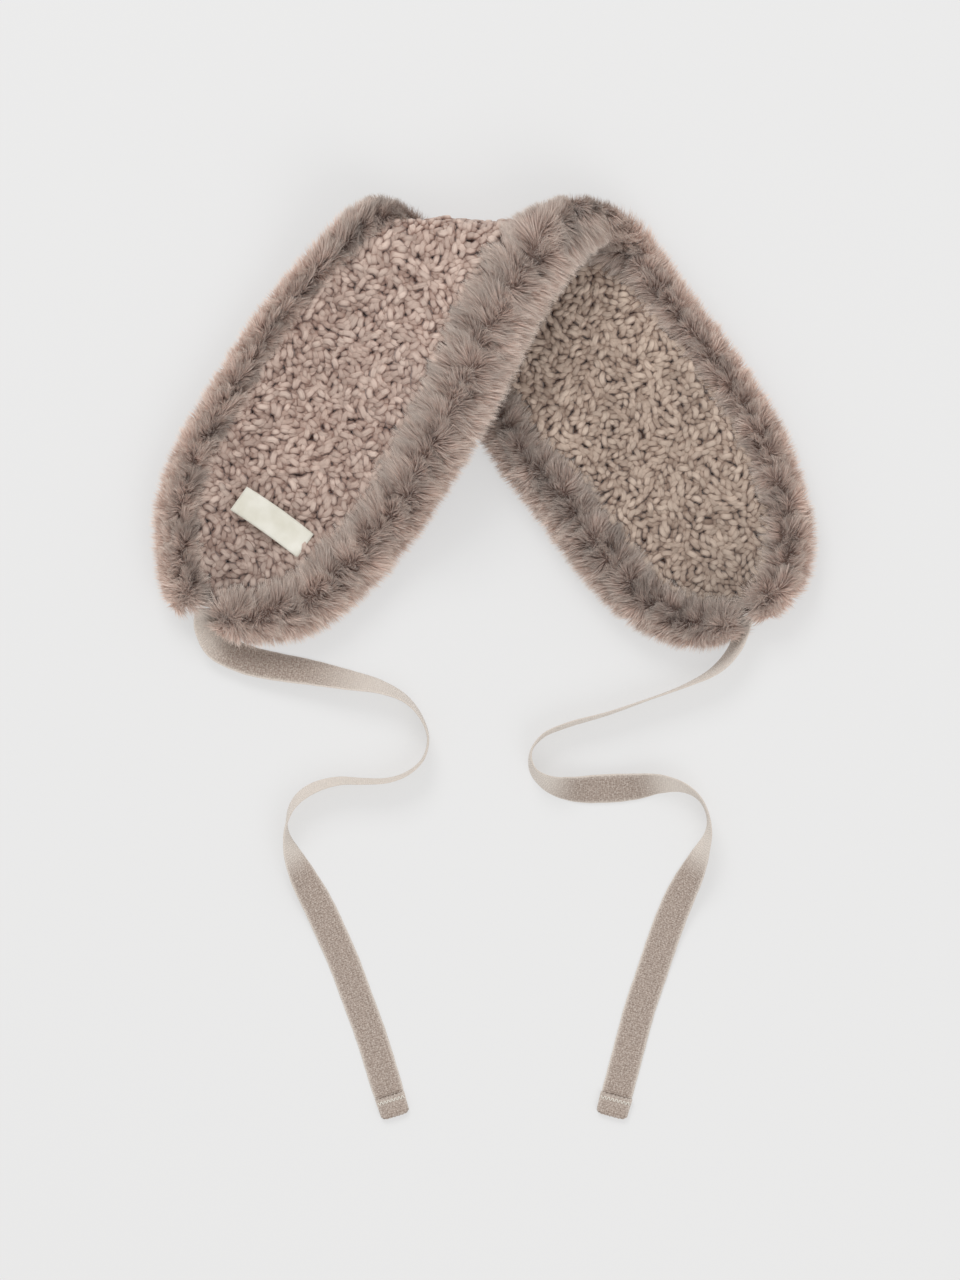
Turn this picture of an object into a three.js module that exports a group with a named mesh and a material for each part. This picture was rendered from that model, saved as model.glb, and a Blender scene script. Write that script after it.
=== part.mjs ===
// Fur-trimmed ear warmer: a soft band folded once and laid flat, with a tape tie at each tip.
// Millimetres. +X runs to the right, +Y toward the fold, +Z up from the surface that it lies on.
// The front lobe lies to the left, on top at the fold. The back lobe lies to the right, beneath.
import * as THREE from 'three';

// Overall size of the folded band without its ties
const SPAN = 318;
const DEPTH = 221;

// Cloth of the band
const CLOTH_THICKNESS = 4.2;
const CLOTH_EDGE_THICKNESS = 1.6;
const CLOTH_GAP = 0.3;
const CLOTH_TAPER_RUN = 14;

// Fur trims, which grip the edges of both cloths in a slot
const UPPER_TRIM_WIDTH = 42;
const LOWER_TRIM_WIDTH = 31;
const TRIM_RISE = 11;
const TRIM_DROP = 10;
const TRIM_FOLD_RISE = 14.5;
const TRIM_SLOT_DEPTH = 8;
const TRIM_LIP = 0.5;
const TRIM_SLOT_CLEARANCE = 0.75;
const TRIM_FOLD_CLEARANCE = 1.3;
const TRIM_EDGE_CLEARANCE = 0.6;
const TRIM_END_ROUND = 14;
const TRIM_END_BLUNT = 0.12;
const LOCK_LENGTH = 12;
const LOCK_RISE = 2.2;
const LOCK_SWEEP = 2.4;

// How the band folds and lies
const FOLD_RADIUS = 13;
const FOLD_LEAST_RADIUS = 1.5;
const FOLD_PLACE = 0.715;
const EDGE_HEIGHT = 10;
const SAG_RUN = 20;
const FALL_RUN = 62;
const FALL_MARGIN = 3;

// Tape ties and their turned-over ends
const TAPE_WIDTH = 15;
const TAPE_THICKNESS = 1.1;
const HEM_WIDTH = 16;
const HEM_LENGTH = 10.5;
const HEM_GAP = 0.3;

// Label
const LABEL_LENGTH = 38;
const LABEL_WIDTH = 14;
const LABEL_THICKNESS = 1;
const LABEL_ARCH = 1.6;
const LABEL_CLEARANCE = 0.4;
const LABEL_ANGLE = -35.5;
const LABEL_PLACE = { across: -0.645, up: -0.443 };

// Fineness of the faceted surfaces
const TRIM_OUTER_POINTS = 12;
const OUTLINE_SAMPLES = 240;

// Sections from the tip of the front lobe to the tip of the back lobe. Each gives the middle of
// the lower and of the upper fur trim: across as a share of SPAN / 2, up as a share of DEPTH / 2,
// or as a share of the half turn where the band goes round the fold. The widths are shares of
// LOWER_TRIM_WIDTH and UPPER_TRIM_WIDTH. steps is the number of cloth facets to the next section.
const SECTIONS = [
  {
    part: 'front', lower: [-0.9, -0.795], upper: [-0.8, -0.855],
    lowerWidth: 0.76, upperWidth: 0.62, steps: 3,
  },
  {
    part: 'front', lower: [-0.92, -0.68], upper: [-0.71, -0.86],
    lowerWidth: 0.78, upperWidth: 0.68, steps: 3,
  },
  {
    part: 'front', lower: [-0.93, -0.52], upper: [-0.56, -0.805],
    lowerWidth: 0.78, upperWidth: 0.78, steps: 3,
  },
  {
    part: 'front', lower: [-0.93, -0.38], upper: [-0.425, -0.65],
    lowerWidth: 0.76, upperWidth: 0.8, steps: 4,
  },
  {
    part: 'front', lower: [-0.875, -0.13], upper: [-0.305, -0.455],
    lowerWidth: 0.7, upperWidth: 0.8, steps: 4,
  },
  {
    part: 'front', lower: [-0.765, 0.145], upper: [-0.19, -0.195],
    lowerWidth: 0.66, upperWidth: 0.86, steps: 4,
  },
  {
    part: 'front', lower: [-0.655, 0.405], upper: [-0.08, 0.095],
    lowerWidth: 0.62, upperWidth: 0.94, steps: 4,
  },
  {
    part: 'front', lower: [-0.56, 0.58], upper: [0.045, 0.485],
    lowerWidth: 0.6, upperWidth: 1, steps: 2,
  },
  {
    part: 'front', lower: [-0.475, 0.71], upper: [0.145, 0.71],
    lowerWidth: 0.6, upperWidth: 1, steps: 5,
  },
  {
    part: 'turn', lower: [-0.32, 0.5], upper: [0.27, 0.5],
    lowerWidth: 0.62, upperWidth: 0.95, steps: 5,
  },
  {
    part: 'back', lower: [-0.17, 0.71], upper: [0.45, 0.71],
    lowerWidth: 0.7, upperWidth: 0.66, steps: 2,
  },
  {
    part: 'back', lower: [-0.115, 0.52], upper: [0.535, 0.56],
    lowerWidth: 0.78, upperWidth: 0.57, steps: 2,
  },
  {
    part: 'back', lower: [-0.025, 0.225], upper: [0.65, 0.35],
    lowerWidth: 0.84, upperWidth: 0.54, steps: 3,
  },
  {
    part: 'back', lower: [0.09, -0.11], upper: [0.76, 0.125],
    lowerWidth: 0.9, upperWidth: 0.54, steps: 3,
  },
  {
    part: 'back', lower: [0.225, -0.335], upper: [0.845, -0.095],
    lowerWidth: 1, upperWidth: 0.57, steps: 3,
  },
  {
    part: 'back', lower: [0.345, -0.57], upper: [0.9, -0.325],
    lowerWidth: 1, upperWidth: 0.58, steps: 3,
  },
  {
    part: 'back', lower: [0.465, -0.765], upper: [0.92, -0.52],
    lowerWidth: 0.94, upperWidth: 0.62, steps: 3,
  },
  {
    part: 'back', lower: [0.6, -0.875], upper: [0.895, -0.695],
    lowerWidth: 0.86, upperWidth: 0.6, steps: 3,
  },
  {
    part: 'back', lower: [0.74, -0.89], upper: [0.82, -0.82],
    lowerWidth: 0.76, upperWidth: 0.5, steps: 0,
  },
];

// Columns of the cloth: distance in from its edge, and the most that may be of its width there.
// It comes out of the trim at BARE_INSET.
const BARE_INSET = TRIM_SLOT_DEPTH + TRIM_LIP;
const CLOTH_COLUMNS = [
  { inset: 0, most: 0 },
  { inset: BARE_INSET, most: 0.2 },
  { inset: BARE_INSET + CLOTH_TAPER_RUN / 2, most: 0.3 },
  { inset: BARE_INSET + CLOTH_TAPER_RUN, most: 0.4 },
  { inset: BARE_INSET + SAG_RUN, most: 0.46 },
];

// Route of each tie from the tip of its lobe to its turned-over end: x, y, roll of the tape in
// degrees (0 lies flat, 90 stands on its edge) and how far it is lifted off the surface.
const LEFT_TIE_ROUTE = [
  [-133.2, -90.5, 42, 4.6], [-133.9, -93.1, 42, 3.8], [-134.2, -97.9, 38, 2.4],
  [-132.4, -103, 30, 1], [-128.9, -108.3, 22, 0.2], [-122.6, -112, 18, 0], [-113, -115.7, 20, 0],
  [-99.6, -118.6, 26, 0], [-85.2, -121, 34, 0], [-66, -124.8, 50, 0], [-50.6, -128.2, 65, 0],
  [-38.6, -133.9, 78, 0], [-31, -142.6, 87, 0], [-27.6, -152.6, 90, 0], [-29.5, -161.8, 92, 0],
  [-34.3, -167.5, 94, 0], [-41, -171.4, 96, 0], [-48.7, -173.3, 98, 0], [-59.3, -173.5, 100, 0],
  [-69.8, -173.3, 104, 0], [-79.4, -175.4, 108, 0], [-87.1, -179.3, 110, 0],
  [-92.4, -184.8, 103, 0], [-95, -191, 95, 0], [-95.8, -197.8, 86, 0], [-93.8, -206.4, 62, 0],
  [-88.1, -218.9, 32, 0], [-80.4, -233.3, 10, 0], [-74.2, -246.7, 3, 0], [-67.9, -261.1, 0, 0],
  [-62.2, -276.5, 0, 0], [-55, -296.2, 0, 0], [-48.2, -318.2, 0, 0], [-43.4, -333.6, 0, 0],
];
const RIGHT_TIE_ROUTE = [
  [123.9, -94.2, -52, 3.8], [123.6, -96.5, -55, 3], [122.6, -101.8, -60, 1.5],
  [120.7, -108, -67, 0.4], [115.4, -115.7, -69, 0], [108.7, -121.4, -76, 0],
  [100.1, -125.8, -84, 0], [91, -129.6, -88, 0], [79, -133.9, -91, 0], [58.3, -141.1, -95, 0],
  [39.6, -146.4, -99, 0], [27.6, -151.7, -96, 0], [21.8, -159.4, -90, 0], [22.8, -168, -80, 0],
  [30, -174.2, -60, 0], [41.5, -177.1, -36, 0], [55.9, -177.1, -20, 0], [70.3, -176.2, -28, 0],
  [83.8, -174.7, -52, 0], [95.3, -176.6, -74, 0], [103, -181.9, -86, 0], [106.8, -189.6, -90, 0],
  [107.3, -197.8, -82, 0], [104.4, -206.4, -62, 0], [100.1, -216, -38, 0], [94.3, -227.5, -18, 0],
  [89, -240, -8, 0], [84.2, -253.4, -3, 0], [79.4, -267.8, 0, 0], [74.2, -283.2, 0, 0],
  [70.3, -297.6, 0, 0], [66.5, -312, 0, 0], [60.7, -333.6, 0, 0],
];
const TAPE_STEPS = 66;

// The band's own numbers, worked out from the sizes above
const FOLD_LINE = FOLD_PLACE * DEPTH / 2;
const FOLD_RUN = Math.PI * FOLD_RADIUS;
const STACK_HEIGHT = 2 * FOLD_RADIUS;
const CENTRE_HEIGHT = CLOTH_THICKNESS;
const SLOT_HALF = CLOTH_GAP / 2 + CLOTH_EDGE_THICKNESS + TRIM_SLOT_CLEARANCE;

const clamp = THREE.MathUtils.clamp;
const smooth = (share) => THREE.MathUtils.smoothstep(share, 0, 1);

// Distance along the unfolded band, measured up from the middle of the depth.
function unfoldedUp(part, up) {
  if (part === 'front') return up * DEPTH / 2;
  if (part === 'turn') return FOLD_LINE + up * FOLD_RUN;
  return 2 * FOLD_LINE + FOLD_RUN - up * DEPTH / 2;
}

// A smooth line through one edge's sections in the unfolded plan; z carries the half width of the
// trim without its locks.
function railThrough(edge, halfWidth) {
  const points = SECTIONS.map((section) => new THREE.Vector3(
    section[edge][0] * SPAN / 2,
    unfoldedUp(section.part, section[edge][1]),
    halfWidth(section),
  ));
  return new THREE.CatmullRomCurve3(points, false, 'centripetal');
}

const lowerRail = railThrough('lower', ({ lowerWidth }) => (
  lowerWidth * LOWER_TRIM_WIDTH / 2 - LOCK_RISE
));
const upperRail = railThrough('upper', ({ upperWidth }) => (
  upperWidth * UPPER_TRIM_WIDTH / 2 - LOCK_RISE
));

// Place, half width, direction and outward normal on a rail at share t; side is 1 for the lower
// rail, whose outward side is to the left of its direction, and -1 for the upper one.
function railFrame(rail, side, t) {
  const point = rail.getPoint(t);
  const tangent = rail.getTangent(t);
  const direction = new THREE.Vector2(tangent.x, tangent.y).normalize();
  const outward = new THREE.Vector2(-direction.y, direction.x).multiplyScalar(side);
  return { place: new THREE.Vector2(point.x, point.y), half: point.z, direction, outward };
}

// The cloth's edge lies inside the trim's slot.
function clothEdge(frame) {
  return frame.place.clone().addScaledVector(frame.outward, TRIM_SLOT_DEPTH - frame.half);
}

const outline = [];
for (let i = 0; i <= OUTLINE_SAMPLES; i += 1) {
  outline.push(clothEdge(railFrame(lowerRail, 1, i / OUTLINE_SAMPLES)));
}
for (let i = OUTLINE_SAMPLES; i >= 0; i -= 1) {
  outline.push(clothEdge(railFrame(upperRail, -1, i / OUTLINE_SAMPLES)));
}

// Distance from a point of the unfolded plan to the cloth's outline.
function insetFromOutline(point) {
  let nearest = Infinity;
  for (let i = 0; i < outline.length; i += 1) {
    const start = outline[i];
    const along = outline[(i + 1) % outline.length].clone().sub(start);
    const length = Math.max(along.lengthSq(), 1e-12);
    const share = clamp(point.clone().sub(start).dot(along) / length, 0, 1);
    nearest = Math.min(nearest, point.distanceTo(start.clone().addScaledVector(along, share)));
  }
  return nearest;
}

// The front lobe comes down to the surface to the left of the back lobe's hidden edge, which is
// taken as straight from the back lobe's first section to its fourth.
const backSections = SECTIONS.filter((section) => section.part === 'back');
const support = [backSections[0], backSections[3]].map(({ lower: [across, up] }) => (
  new THREE.Vector2(across * SPAN / 2, up * DEPTH / 2)
));
const supportOut = new THREE.Vector2(
  support[1].y - support[0].y,
  support[0].x - support[1].x,
).normalize();

function fallAt(x, y) {
  const beyond = new THREE.Vector2(x, y).sub(support[0]).dot(supportOut);
  const clear = beyond - LOWER_TRIM_WIDTH / 2 - FALL_MARGIN;
  return STACK_HEIGHT * smooth(clear / FALL_RUN);
}

function sagAt(inset) {
  return (EDGE_HEIGHT - CENTRE_HEIGHT) * smooth((inset - BARE_INSET) / SAG_RUN);
}

// Angle round the fold at a point of the unfolded band: 0 on the front lobe, pi on the back lobe.
function turnAt(run) {
  return clamp((run - FOLD_LINE) / FOLD_RADIUS, 0, Math.PI);
}

// 1 in the middle of the fold, falling to 0 a little way past its ends.
function nearFold(run) {
  const share = (run - FOLD_LINE + FOLD_RADIUS) / (FOLD_RUN + 2 * FOLD_RADIUS);
  return Math.sin(Math.PI * clamp(share, 0, 1));
}

// Folds a point of the band: x and run in the unfolded plan, rise toward the outer cloth's side,
// and inset from the cloth's outline. What would go below the surface is flattened on it.
function folded(x, run, rise, inset) {
  const turn = turnAt(run);
  const past = run - FOLD_LINE;
  const radius = Math.max(FOLD_RADIUS + rise, FOLD_LEAST_RADIUS);
  let y = run;
  let z = EDGE_HEIGHT + STACK_HEIGHT + rise;
  if (past >= FOLD_RUN) {
    y = FOLD_LINE - (past - FOLD_RUN);
    z = EDGE_HEIGHT - rise;
  } else if (past > 0) {
    y = FOLD_LINE + radius * Math.sin(turn);
    z = EDGE_HEIGHT + FOLD_RADIUS + radius * Math.cos(turn);
  }
  z -= fallAt(x, y) * (1 + Math.cos(turn)) / 2;
  z -= sagAt(inset) * Math.abs(Math.cos(turn));
  return new THREE.Vector3(x, y, Math.max(z, 0));
}

// A closed solid through rings of points. cap is the flat outline that both end faces share.
function loft(rings, cap) {
  const count = rings[0].length;
  const positions = rings.flat().flatMap((point) => point.toArray());
  const faces = [];
  for (let i = 0; i + 1 < rings.length; i += 1) {
    for (let j = 0; j < count; j += 1) {
      const a = i * count + j;
      const b = i * count + (j + 1) % count;
      if ((i + j) % 2 === 0) faces.push([a, b, b + count], [a, b + count, a + count]);
      else faces.push([a, b, a + count], [b, b + count, a + count]);
    }
  }
  const last = (rings.length - 1) * count;
  const clockwise = THREE.ShapeUtils.isClockWise(cap);
  for (const [a, b, c] of THREE.ShapeUtils.triangulateShape(cap, [])) {
    const [p, q] = clockwise ? [b, c] : [c, b];
    faces.push([a, p, q], [last + a, last + q, last + p]);
  }
  const flip = signedVolume(positions, faces) < 0;
  const geometry = new THREE.BufferGeometry();
  geometry.setAttribute('position', new THREE.Float32BufferAttribute(positions, 3));
  geometry.setIndex(faces.flatMap(([a, b, c]) => (flip ? [a, c, b] : [a, b, c])));
  geometry.computeVertexNormals();
  return geometry;
}

function signedVolume(positions, faces) {
  const corner = (index) => new THREE.Vector3().fromArray(positions, 3 * index);
  return faces.reduce((sum, [a, b, c]) => sum + corner(a).dot(corner(b).cross(corner(c))), 0) / 6;
}

// Thickness of one cloth: thin in the trim's slot, full in the middle of the lobe.
function clothThickness(inset) {
  const share = (inset - BARE_INSET) / CLOTH_TAPER_RUN;
  return CLOTH_EDGE_THICKNESS + (CLOTH_THICKNESS - CLOTH_EDGE_THICKNESS) * clamp(share, 0, 1);
}

// Shares along the rails at which the cloth has a row.
const clothRows = SECTIONS.flatMap((section, index) => (
  Array.from({ length: section.steps }, (_, step) => index + step / section.steps)
)).concat(SECTIONS.length - 1).map((place) => place / (SECTIONS.length - 1));

// Points of one row of the unfolded cloth, from the lower edge to the upper edge.
function clothRow(t) {
  const lower = railFrame(lowerRail, 1, t);
  const upper = railFrame(upperRail, -1, t);
  const width = clothEdge(lower).distanceTo(clothEdge(upper));
  const inward = (frame) => CLOTH_COLUMNS.map(({ inset, most }) => (
    clothEdge(frame).addScaledVector(frame.outward, -Math.min(inset, most * width))
  ));
  const left = inward(lower);
  const right = inward(upper);
  const middle = left.at(-1).clone().lerp(right.at(-1), 0.5);
  return [...left, middle, ...right.reverse()];
}

// One cloth of the band; side is 1 for the outer cloth and -1 for the lining.
function clothWall(side) {
  const rings = clothRows.map((t) => {
    const row = clothRow(t).map((point) => ({ point, inset: insetFromOutline(point) }));
    const near = row.map(({ point, inset }) => (
      folded(point.x, point.y, side * CLOTH_GAP / 2, inset)
    ));
    const far = row.map(({ point, inset }) => (
      folded(point.x, point.y, side * (CLOTH_GAP / 2 + clothThickness(inset)), inset)
    ));
    return [...near, ...far.reverse()];
  });
  const columns = rings[0].length / 2;
  const near = Array.from({ length: columns }, (_, i) => new THREE.Vector2(i, 0));
  const far = near.map((point) => new THREE.Vector2(point.x, 1)).reverse();
  return loft(rings, [...near, ...far]);
}

// Section of a fur trim before its locks: round outside, with the slot for the cloths inside.
function trimSection(half, rise, drop, slotHalf) {
  const lip = Math.asin(slotHalf / Math.min(rise, drop));
  const points = [];
  for (let j = 0; j < TRIM_OUTER_POINTS; j += 1) {
    const angle = (Math.PI - lip) * (1 - 2 * j / (TRIM_OUTER_POINTS - 1));
    const height = Math.sin(angle) * (angle > 0 ? rise : drop);
    points.push(new THREE.Vector2(half * Math.cos(angle), height));
  }
  points[0].y = slotHalf;
  points.at(-1).y = -slotHalf;
  return points;
}

// A fur trim: a roll along the rail whose surface stands out in staggered locks.
function furTrim(rail, side) {
  const rings = [];
  const count = 2 * Math.round(rail.getLength() / LOCK_LENGTH);
  let cap;
  for (let i = 0; i <= count; i += 1) {
    const t = rail.getUtoTmapping(i / count);
    const { place, half, direction, outward } = railFrame(rail, side, t);
    const fromEnd = Math.min(i, count - i) * rail.getLength() / count;
    const round = Math.sqrt(1 - (1 - clamp(TRIM_END_BLUNT + fromEnd / TRIM_END_ROUND, 0, 1)) ** 2);
    const turn = turnAt(place.y);
    const rise = TRIM_RISE + (TRIM_FOLD_RISE - TRIM_RISE) * Math.sin(turn);
    const slotHalf = SLOT_HALF + TRIM_FOLD_CLEARANCE * nearFold(place.y);
    const section = trimSection(half * round, rise * round, TRIM_DROP * round, slotHalf);
    const shaped = section.map((point, j) => {
      const onLock = i % 2 === 1 && (j + (i - 1) / 2) % 2 === 0;
      const inFold = point.y < 0 ? 1 - Math.sin(turn) : 1;
      const lock = onLock && j > 0 && j < TRIM_OUTER_POINTS - 1 ? inFold * round : 0;
      const grown = point.clone().multiplyScalar(1 + lock * LOCK_RISE / point.length());
      return { grown, sweep: lock * LOCK_SWEEP };
    });
    const slotFloor = TRIM_SLOT_DEPTH - half + TRIM_EDGE_CLEARANCE;
    for (const height of [-slotHalf, slotHalf]) {
      shaped.push({ grown: new THREE.Vector2(slotFloor, height), sweep: 0 });
    }
    cap ??= shaped.map(({ grown }) => grown);
    rings.push(shaped.map(({ grown, sweep }) => {
      const spot = place.clone().addScaledVector(outward, grown.x);
      spot.addScaledVector(direction, sweep);
      return folded(spot.x, spot.y, grown.y, 0);
    }));
  }
  return loft(rings, cap);
}

// Height of a rolled tape's middle when its lowest edge is on the surface.
function tapeMiddle(sine, cosine) {
  return (TAPE_WIDTH * Math.abs(sine) + TAPE_THICKNESS * Math.abs(cosine)) / 2;
}

// Frames of a tape along its route: centre, width direction and face direction at each step.
function tapeFrames(route) {
  const points = route.map(([x, y, roll, lift]) => {
    const angle = THREE.MathUtils.degToRad(roll);
    return new THREE.Vector3(x, y, tapeMiddle(Math.sin(angle), Math.cos(angle)) + lift);
  });
  const line = new THREE.CatmullRomCurve3(points, false, 'centripetal');
  const frames = [];
  for (let i = 0; i <= TAPE_STEPS; i += 1) {
    const t = line.getUtoTmapping(i / TAPE_STEPS);
    const place = t * (route.length - 1);
    const row = Math.min(Math.floor(place), route.length - 2);
    const roll = THREE.MathUtils.lerp(route[row][2], route[row + 1][2], place - row);
    const angle = THREE.MathUtils.degToRad(roll);
    const centre = line.getPoint(t);
    const tangent = line.getTangent(t);
    const left = new THREE.Vector3(-tangent.y, tangent.x, 0).normalize();
    const up = tangent.clone().cross(left);
    const face = up.clone().multiplyScalar(Math.cos(angle)).addScaledVector(left, Math.sin(angle));
    const across = left.clone().multiplyScalar(Math.cos(angle)).addScaledVector(up, -Math.sin(angle));
    centre.z = Math.max(centre.z, tapeMiddle(across.z, face.z));
    frames.push({ centre, across, face, tangent });
  }
  return frames;
}

const TAPE_CORNERS = [[1, 1], [-1, 1], [-1, -1], [1, -1]];

function tapeTie(route) {
  const rings = tapeFrames(route).map(({ centre, across, face }) => TAPE_CORNERS.map(([w, h]) => (
    centre.clone()
      .addScaledVector(across, w * TAPE_WIDTH / 2)
      .addScaledVector(face, h * TAPE_THICKNESS / 2)
  )));
  return loft(rings, TAPE_CORNERS.map(([w, h]) => new THREE.Vector2(w, h)));
}

// The turned-over end of a tie: it wraps the tape's cut end and lies back on its top.
function tapeHem(route) {
  const { centre, across, tangent } = tapeFrames(route).at(-1);
  const step = TAPE_THICKNESS + HEM_GAP;
  const top = step + TAPE_THICKNESS;
  const profile = [
    [HEM_GAP, 0], [HEM_GAP, step], [step - HEM_LENGTH, step], [step - HEM_LENGTH, top],
    [HEM_GAP, top], [step, step], [step, HEM_GAP], [TAPE_THICKNESS, 0],
  ];
  const rings = [-1, 1].map((side) => profile.map(([along, up]) => {
    const point = centre.clone().addScaledVector(tangent, along);
    point.addScaledVector(across, side * HEM_WIDTH / 2);
    return point.setZ(up);
  }));
  return loft(rings, profile.map(([along, up]) => new THREE.Vector2(along, up)));
}

// Height of a geometry's upper side at a place of the plan.
function topAt(geometry, x, y) {
  const spots = geometry.getAttribute('position');
  const index = geometry.getIndex();
  const target = new THREE.Vector3();
  const flat = new THREE.Vector3(x, y, 0);
  let top = 0;
  for (let i = 0; i < index.count; i += 3) {
    const [a, b, c] = [0, 1, 2].map((k) => (
      new THREE.Vector3().fromBufferAttribute(spots, index.getX(i + k))
    ));
    const heights = [a.z, b.z, c.z];
    a.z = 0;
    b.z = 0;
    c.z = 0;
    const found = THREE.Triangle.getBarycoord(flat, a, b, c, target);
    if (found && Math.min(target.x, target.y, target.z) > -1e-9) {
      top = Math.max(top, target.dot(new THREE.Vector3(...heights)));
    }
  }
  return top;
}

// The label lies on the outer cloth and rises a little along its middle.
function label(clothGeometry) {
  const angle = THREE.MathUtils.degToRad(LABEL_ANGLE);
  const along = new THREE.Vector2(Math.cos(angle), Math.sin(angle));
  const across = new THREE.Vector2(-along.y, along.x);
  const middle = new THREE.Vector2(LABEL_PLACE.across * SPAN / 2, LABEL_PLACE.up * DEPTH / 2);
  const stations = [-1, -0.75, -0.5, -0.25, 0, 0.25, 0.5, 0.75, 1];
  const rings = stations.map((station) => {
    const edges = [-1, 0, 1].map((share) => {
      const spot = middle.clone().addScaledVector(along, station * LABEL_LENGTH / 2);
      spot.addScaledVector(across, share * LABEL_WIDTH / 2);
      const arch = LABEL_ARCH * (1 - station ** 2);
      const base = topAt(clothGeometry, spot.x, spot.y) + LABEL_CLEARANCE + arch;
      return new THREE.Vector3(spot.x, spot.y, base);
    });
    const upper = edges.map((point) => point.clone().setZ(point.z + LABEL_THICKNESS));
    return [...edges, ...upper.reverse()];
  });
  const cap = [[-1, 0], [0, 0], [1, 0], [1, 1], [0, 1], [-1, 1]];
  return loft(rings, cap.map(([u, v]) => new THREE.Vector2(u, v)));
}

const finishes = {
  outerCloth: new THREE.MeshStandardMaterial({ color: 0xbda596, roughness: 0.95, metalness: 0 }),
  lining: new THREE.MeshStandardMaterial({ color: 0xb39e8c, roughness: 0.95, metalness: 0 }),
  fur: new THREE.MeshStandardMaterial({ color: 0x9a857c, roughness: 0.9, metalness: 0 }),
  tape: new THREE.MeshStandardMaterial({ color: 0xa5968a, roughness: 0.9, metalness: 0 }),
  label: new THREE.MeshStandardMaterial({ color: 0xe4e0d4, roughness: 0.8, metalness: 0 }),
};

const earWarmer = new THREE.Group();

function addPiece(name, geometry, finish) {
  const mesh = new THREE.Mesh(geometry, finish);
  mesh.name = name;
  earWarmer.add(mesh);
}

const outerCloth = clothWall(1);
addPiece('outer_cloth', outerCloth, finishes.outerCloth);
addPiece('lining_cloth', clothWall(-1), finishes.lining);
addPiece('upper_fur_trim', furTrim(upperRail, -1), finishes.fur);
addPiece('lower_fur_trim', furTrim(lowerRail, 1), finishes.fur);
addPiece('left_tie', tapeTie(LEFT_TIE_ROUTE), finishes.tape);
addPiece('right_tie', tapeTie(RIGHT_TIE_ROUTE), finishes.tape);
addPiece('left_tie_hem', tapeHem(LEFT_TIE_ROUTE), finishes.tape);
addPiece('right_tie_hem', tapeHem(RIGHT_TIE_ROUTE), finishes.tape);
addPiece('label', label(outerCloth), finishes.label);

export default earWarmer;
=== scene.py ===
"""Fur-trimmed ear warmer: a boucle band folded once and laid flat, with fur rolls and tape ties."""

import logging
import math
from dataclasses import dataclass, field
from enum import Enum

import bpy
import numpy as np
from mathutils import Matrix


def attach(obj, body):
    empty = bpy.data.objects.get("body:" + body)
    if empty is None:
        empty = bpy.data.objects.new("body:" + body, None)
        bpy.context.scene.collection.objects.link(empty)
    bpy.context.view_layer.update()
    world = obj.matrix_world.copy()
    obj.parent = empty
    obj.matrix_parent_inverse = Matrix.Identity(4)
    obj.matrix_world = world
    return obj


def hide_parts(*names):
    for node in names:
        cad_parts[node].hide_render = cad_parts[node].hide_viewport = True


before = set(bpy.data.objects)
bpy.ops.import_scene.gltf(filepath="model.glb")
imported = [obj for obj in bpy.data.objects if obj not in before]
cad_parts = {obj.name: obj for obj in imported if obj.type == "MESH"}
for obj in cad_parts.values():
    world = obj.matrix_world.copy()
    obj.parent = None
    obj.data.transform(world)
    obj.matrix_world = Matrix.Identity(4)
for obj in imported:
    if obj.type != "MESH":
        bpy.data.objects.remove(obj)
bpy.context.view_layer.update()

Array = np.ndarray
Point = tuple[float, float, float]
Colour = tuple[float, float, float, float]
log = logging.getLogger("ear_warmer")

BODY = "root"
MM = 0.001


# Shapes from arrays


def smooth(share: Array) -> Array:
    """Returns the S-shaped step 3s^2 - 2s^3 of a share, held to 0..1."""
    held = np.clip(share, 0.0, 1.0)
    return held * held * (3.0 - 2.0 * held)


def waves(a: Array, b: Array, length: float, seed: int, octaves: int = 3) -> Array:
    """A smooth random field: the mean of plane waves in random directions.

    Args:
        a: First coordinate, in metres.
        b: Second coordinate, in metres.
        length: Longest wavelength, in metres.
        seed: Seed of the directions and phases.
        octaves: Number of sets of waves, each shorter than the last by 0.62.

    Returns:
        The field's values, about -1 to 1.
    """
    rng = np.random.default_rng(seed)
    total = np.zeros_like(a)
    for octave in range(octaves):
        step = 2.0 * math.pi / (length * 0.62**octave)
        for _ in range(4):
            turn, phase = rng.uniform(0.0, 2.0 * math.pi, 2)
            total = total + np.sin(step * (a * math.cos(turn) + b * math.sin(turn)) + phase)
    return total / math.sqrt(8.0 * octaves)


def unit(vectors: Array) -> Array:
    """Returns the vectors at length 1."""
    return vectors / np.maximum(np.linalg.norm(vectors, axis=-1, keepdims=True), 1e-12)


def new_mesh(name: str, points: Array, faces: Array) -> bpy.types.Object:
    """Makes a mesh object from arrays.

    Args:
        name: The object's name.
        points: Corner places, n by 3, in metres.
        faces: Corner numbers, m by 3 or m by 4.

    Returns:
        The new object, at the origin.
    """
    count, corners = faces.shape
    mesh = bpy.data.meshes.new(name)
    mesh.vertices.add(len(points))
    mesh.vertices.foreach_set("co", np.ascontiguousarray(points, np.float32).ravel())
    mesh.loops.add(count * corners)
    mesh.loops.foreach_set("vertex_index", np.ascontiguousarray(faces, np.int32).ravel())
    mesh.polygons.add(count)
    mesh.polygons.foreach_set("loop_start", np.arange(0, count * corners, corners, dtype=np.int32))
    mesh.polygons.foreach_set("use_smooth", np.full(count, True))
    mesh.update(calc_edges=True)
    made = bpy.data.objects.new(name, mesh)
    bpy.context.scene.collection.objects.link(made)
    return made


def note(piece: bpy.types.Object, name: str, values: Array) -> None:
    """Keeps one number for each corner of a piece as an attribute that its finish reads."""
    kept = piece.data.attributes.new(name, "FLOAT", "POINT")
    kept.data.foreach_set("value", np.ascontiguousarray(values, np.float32).ravel())


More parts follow.
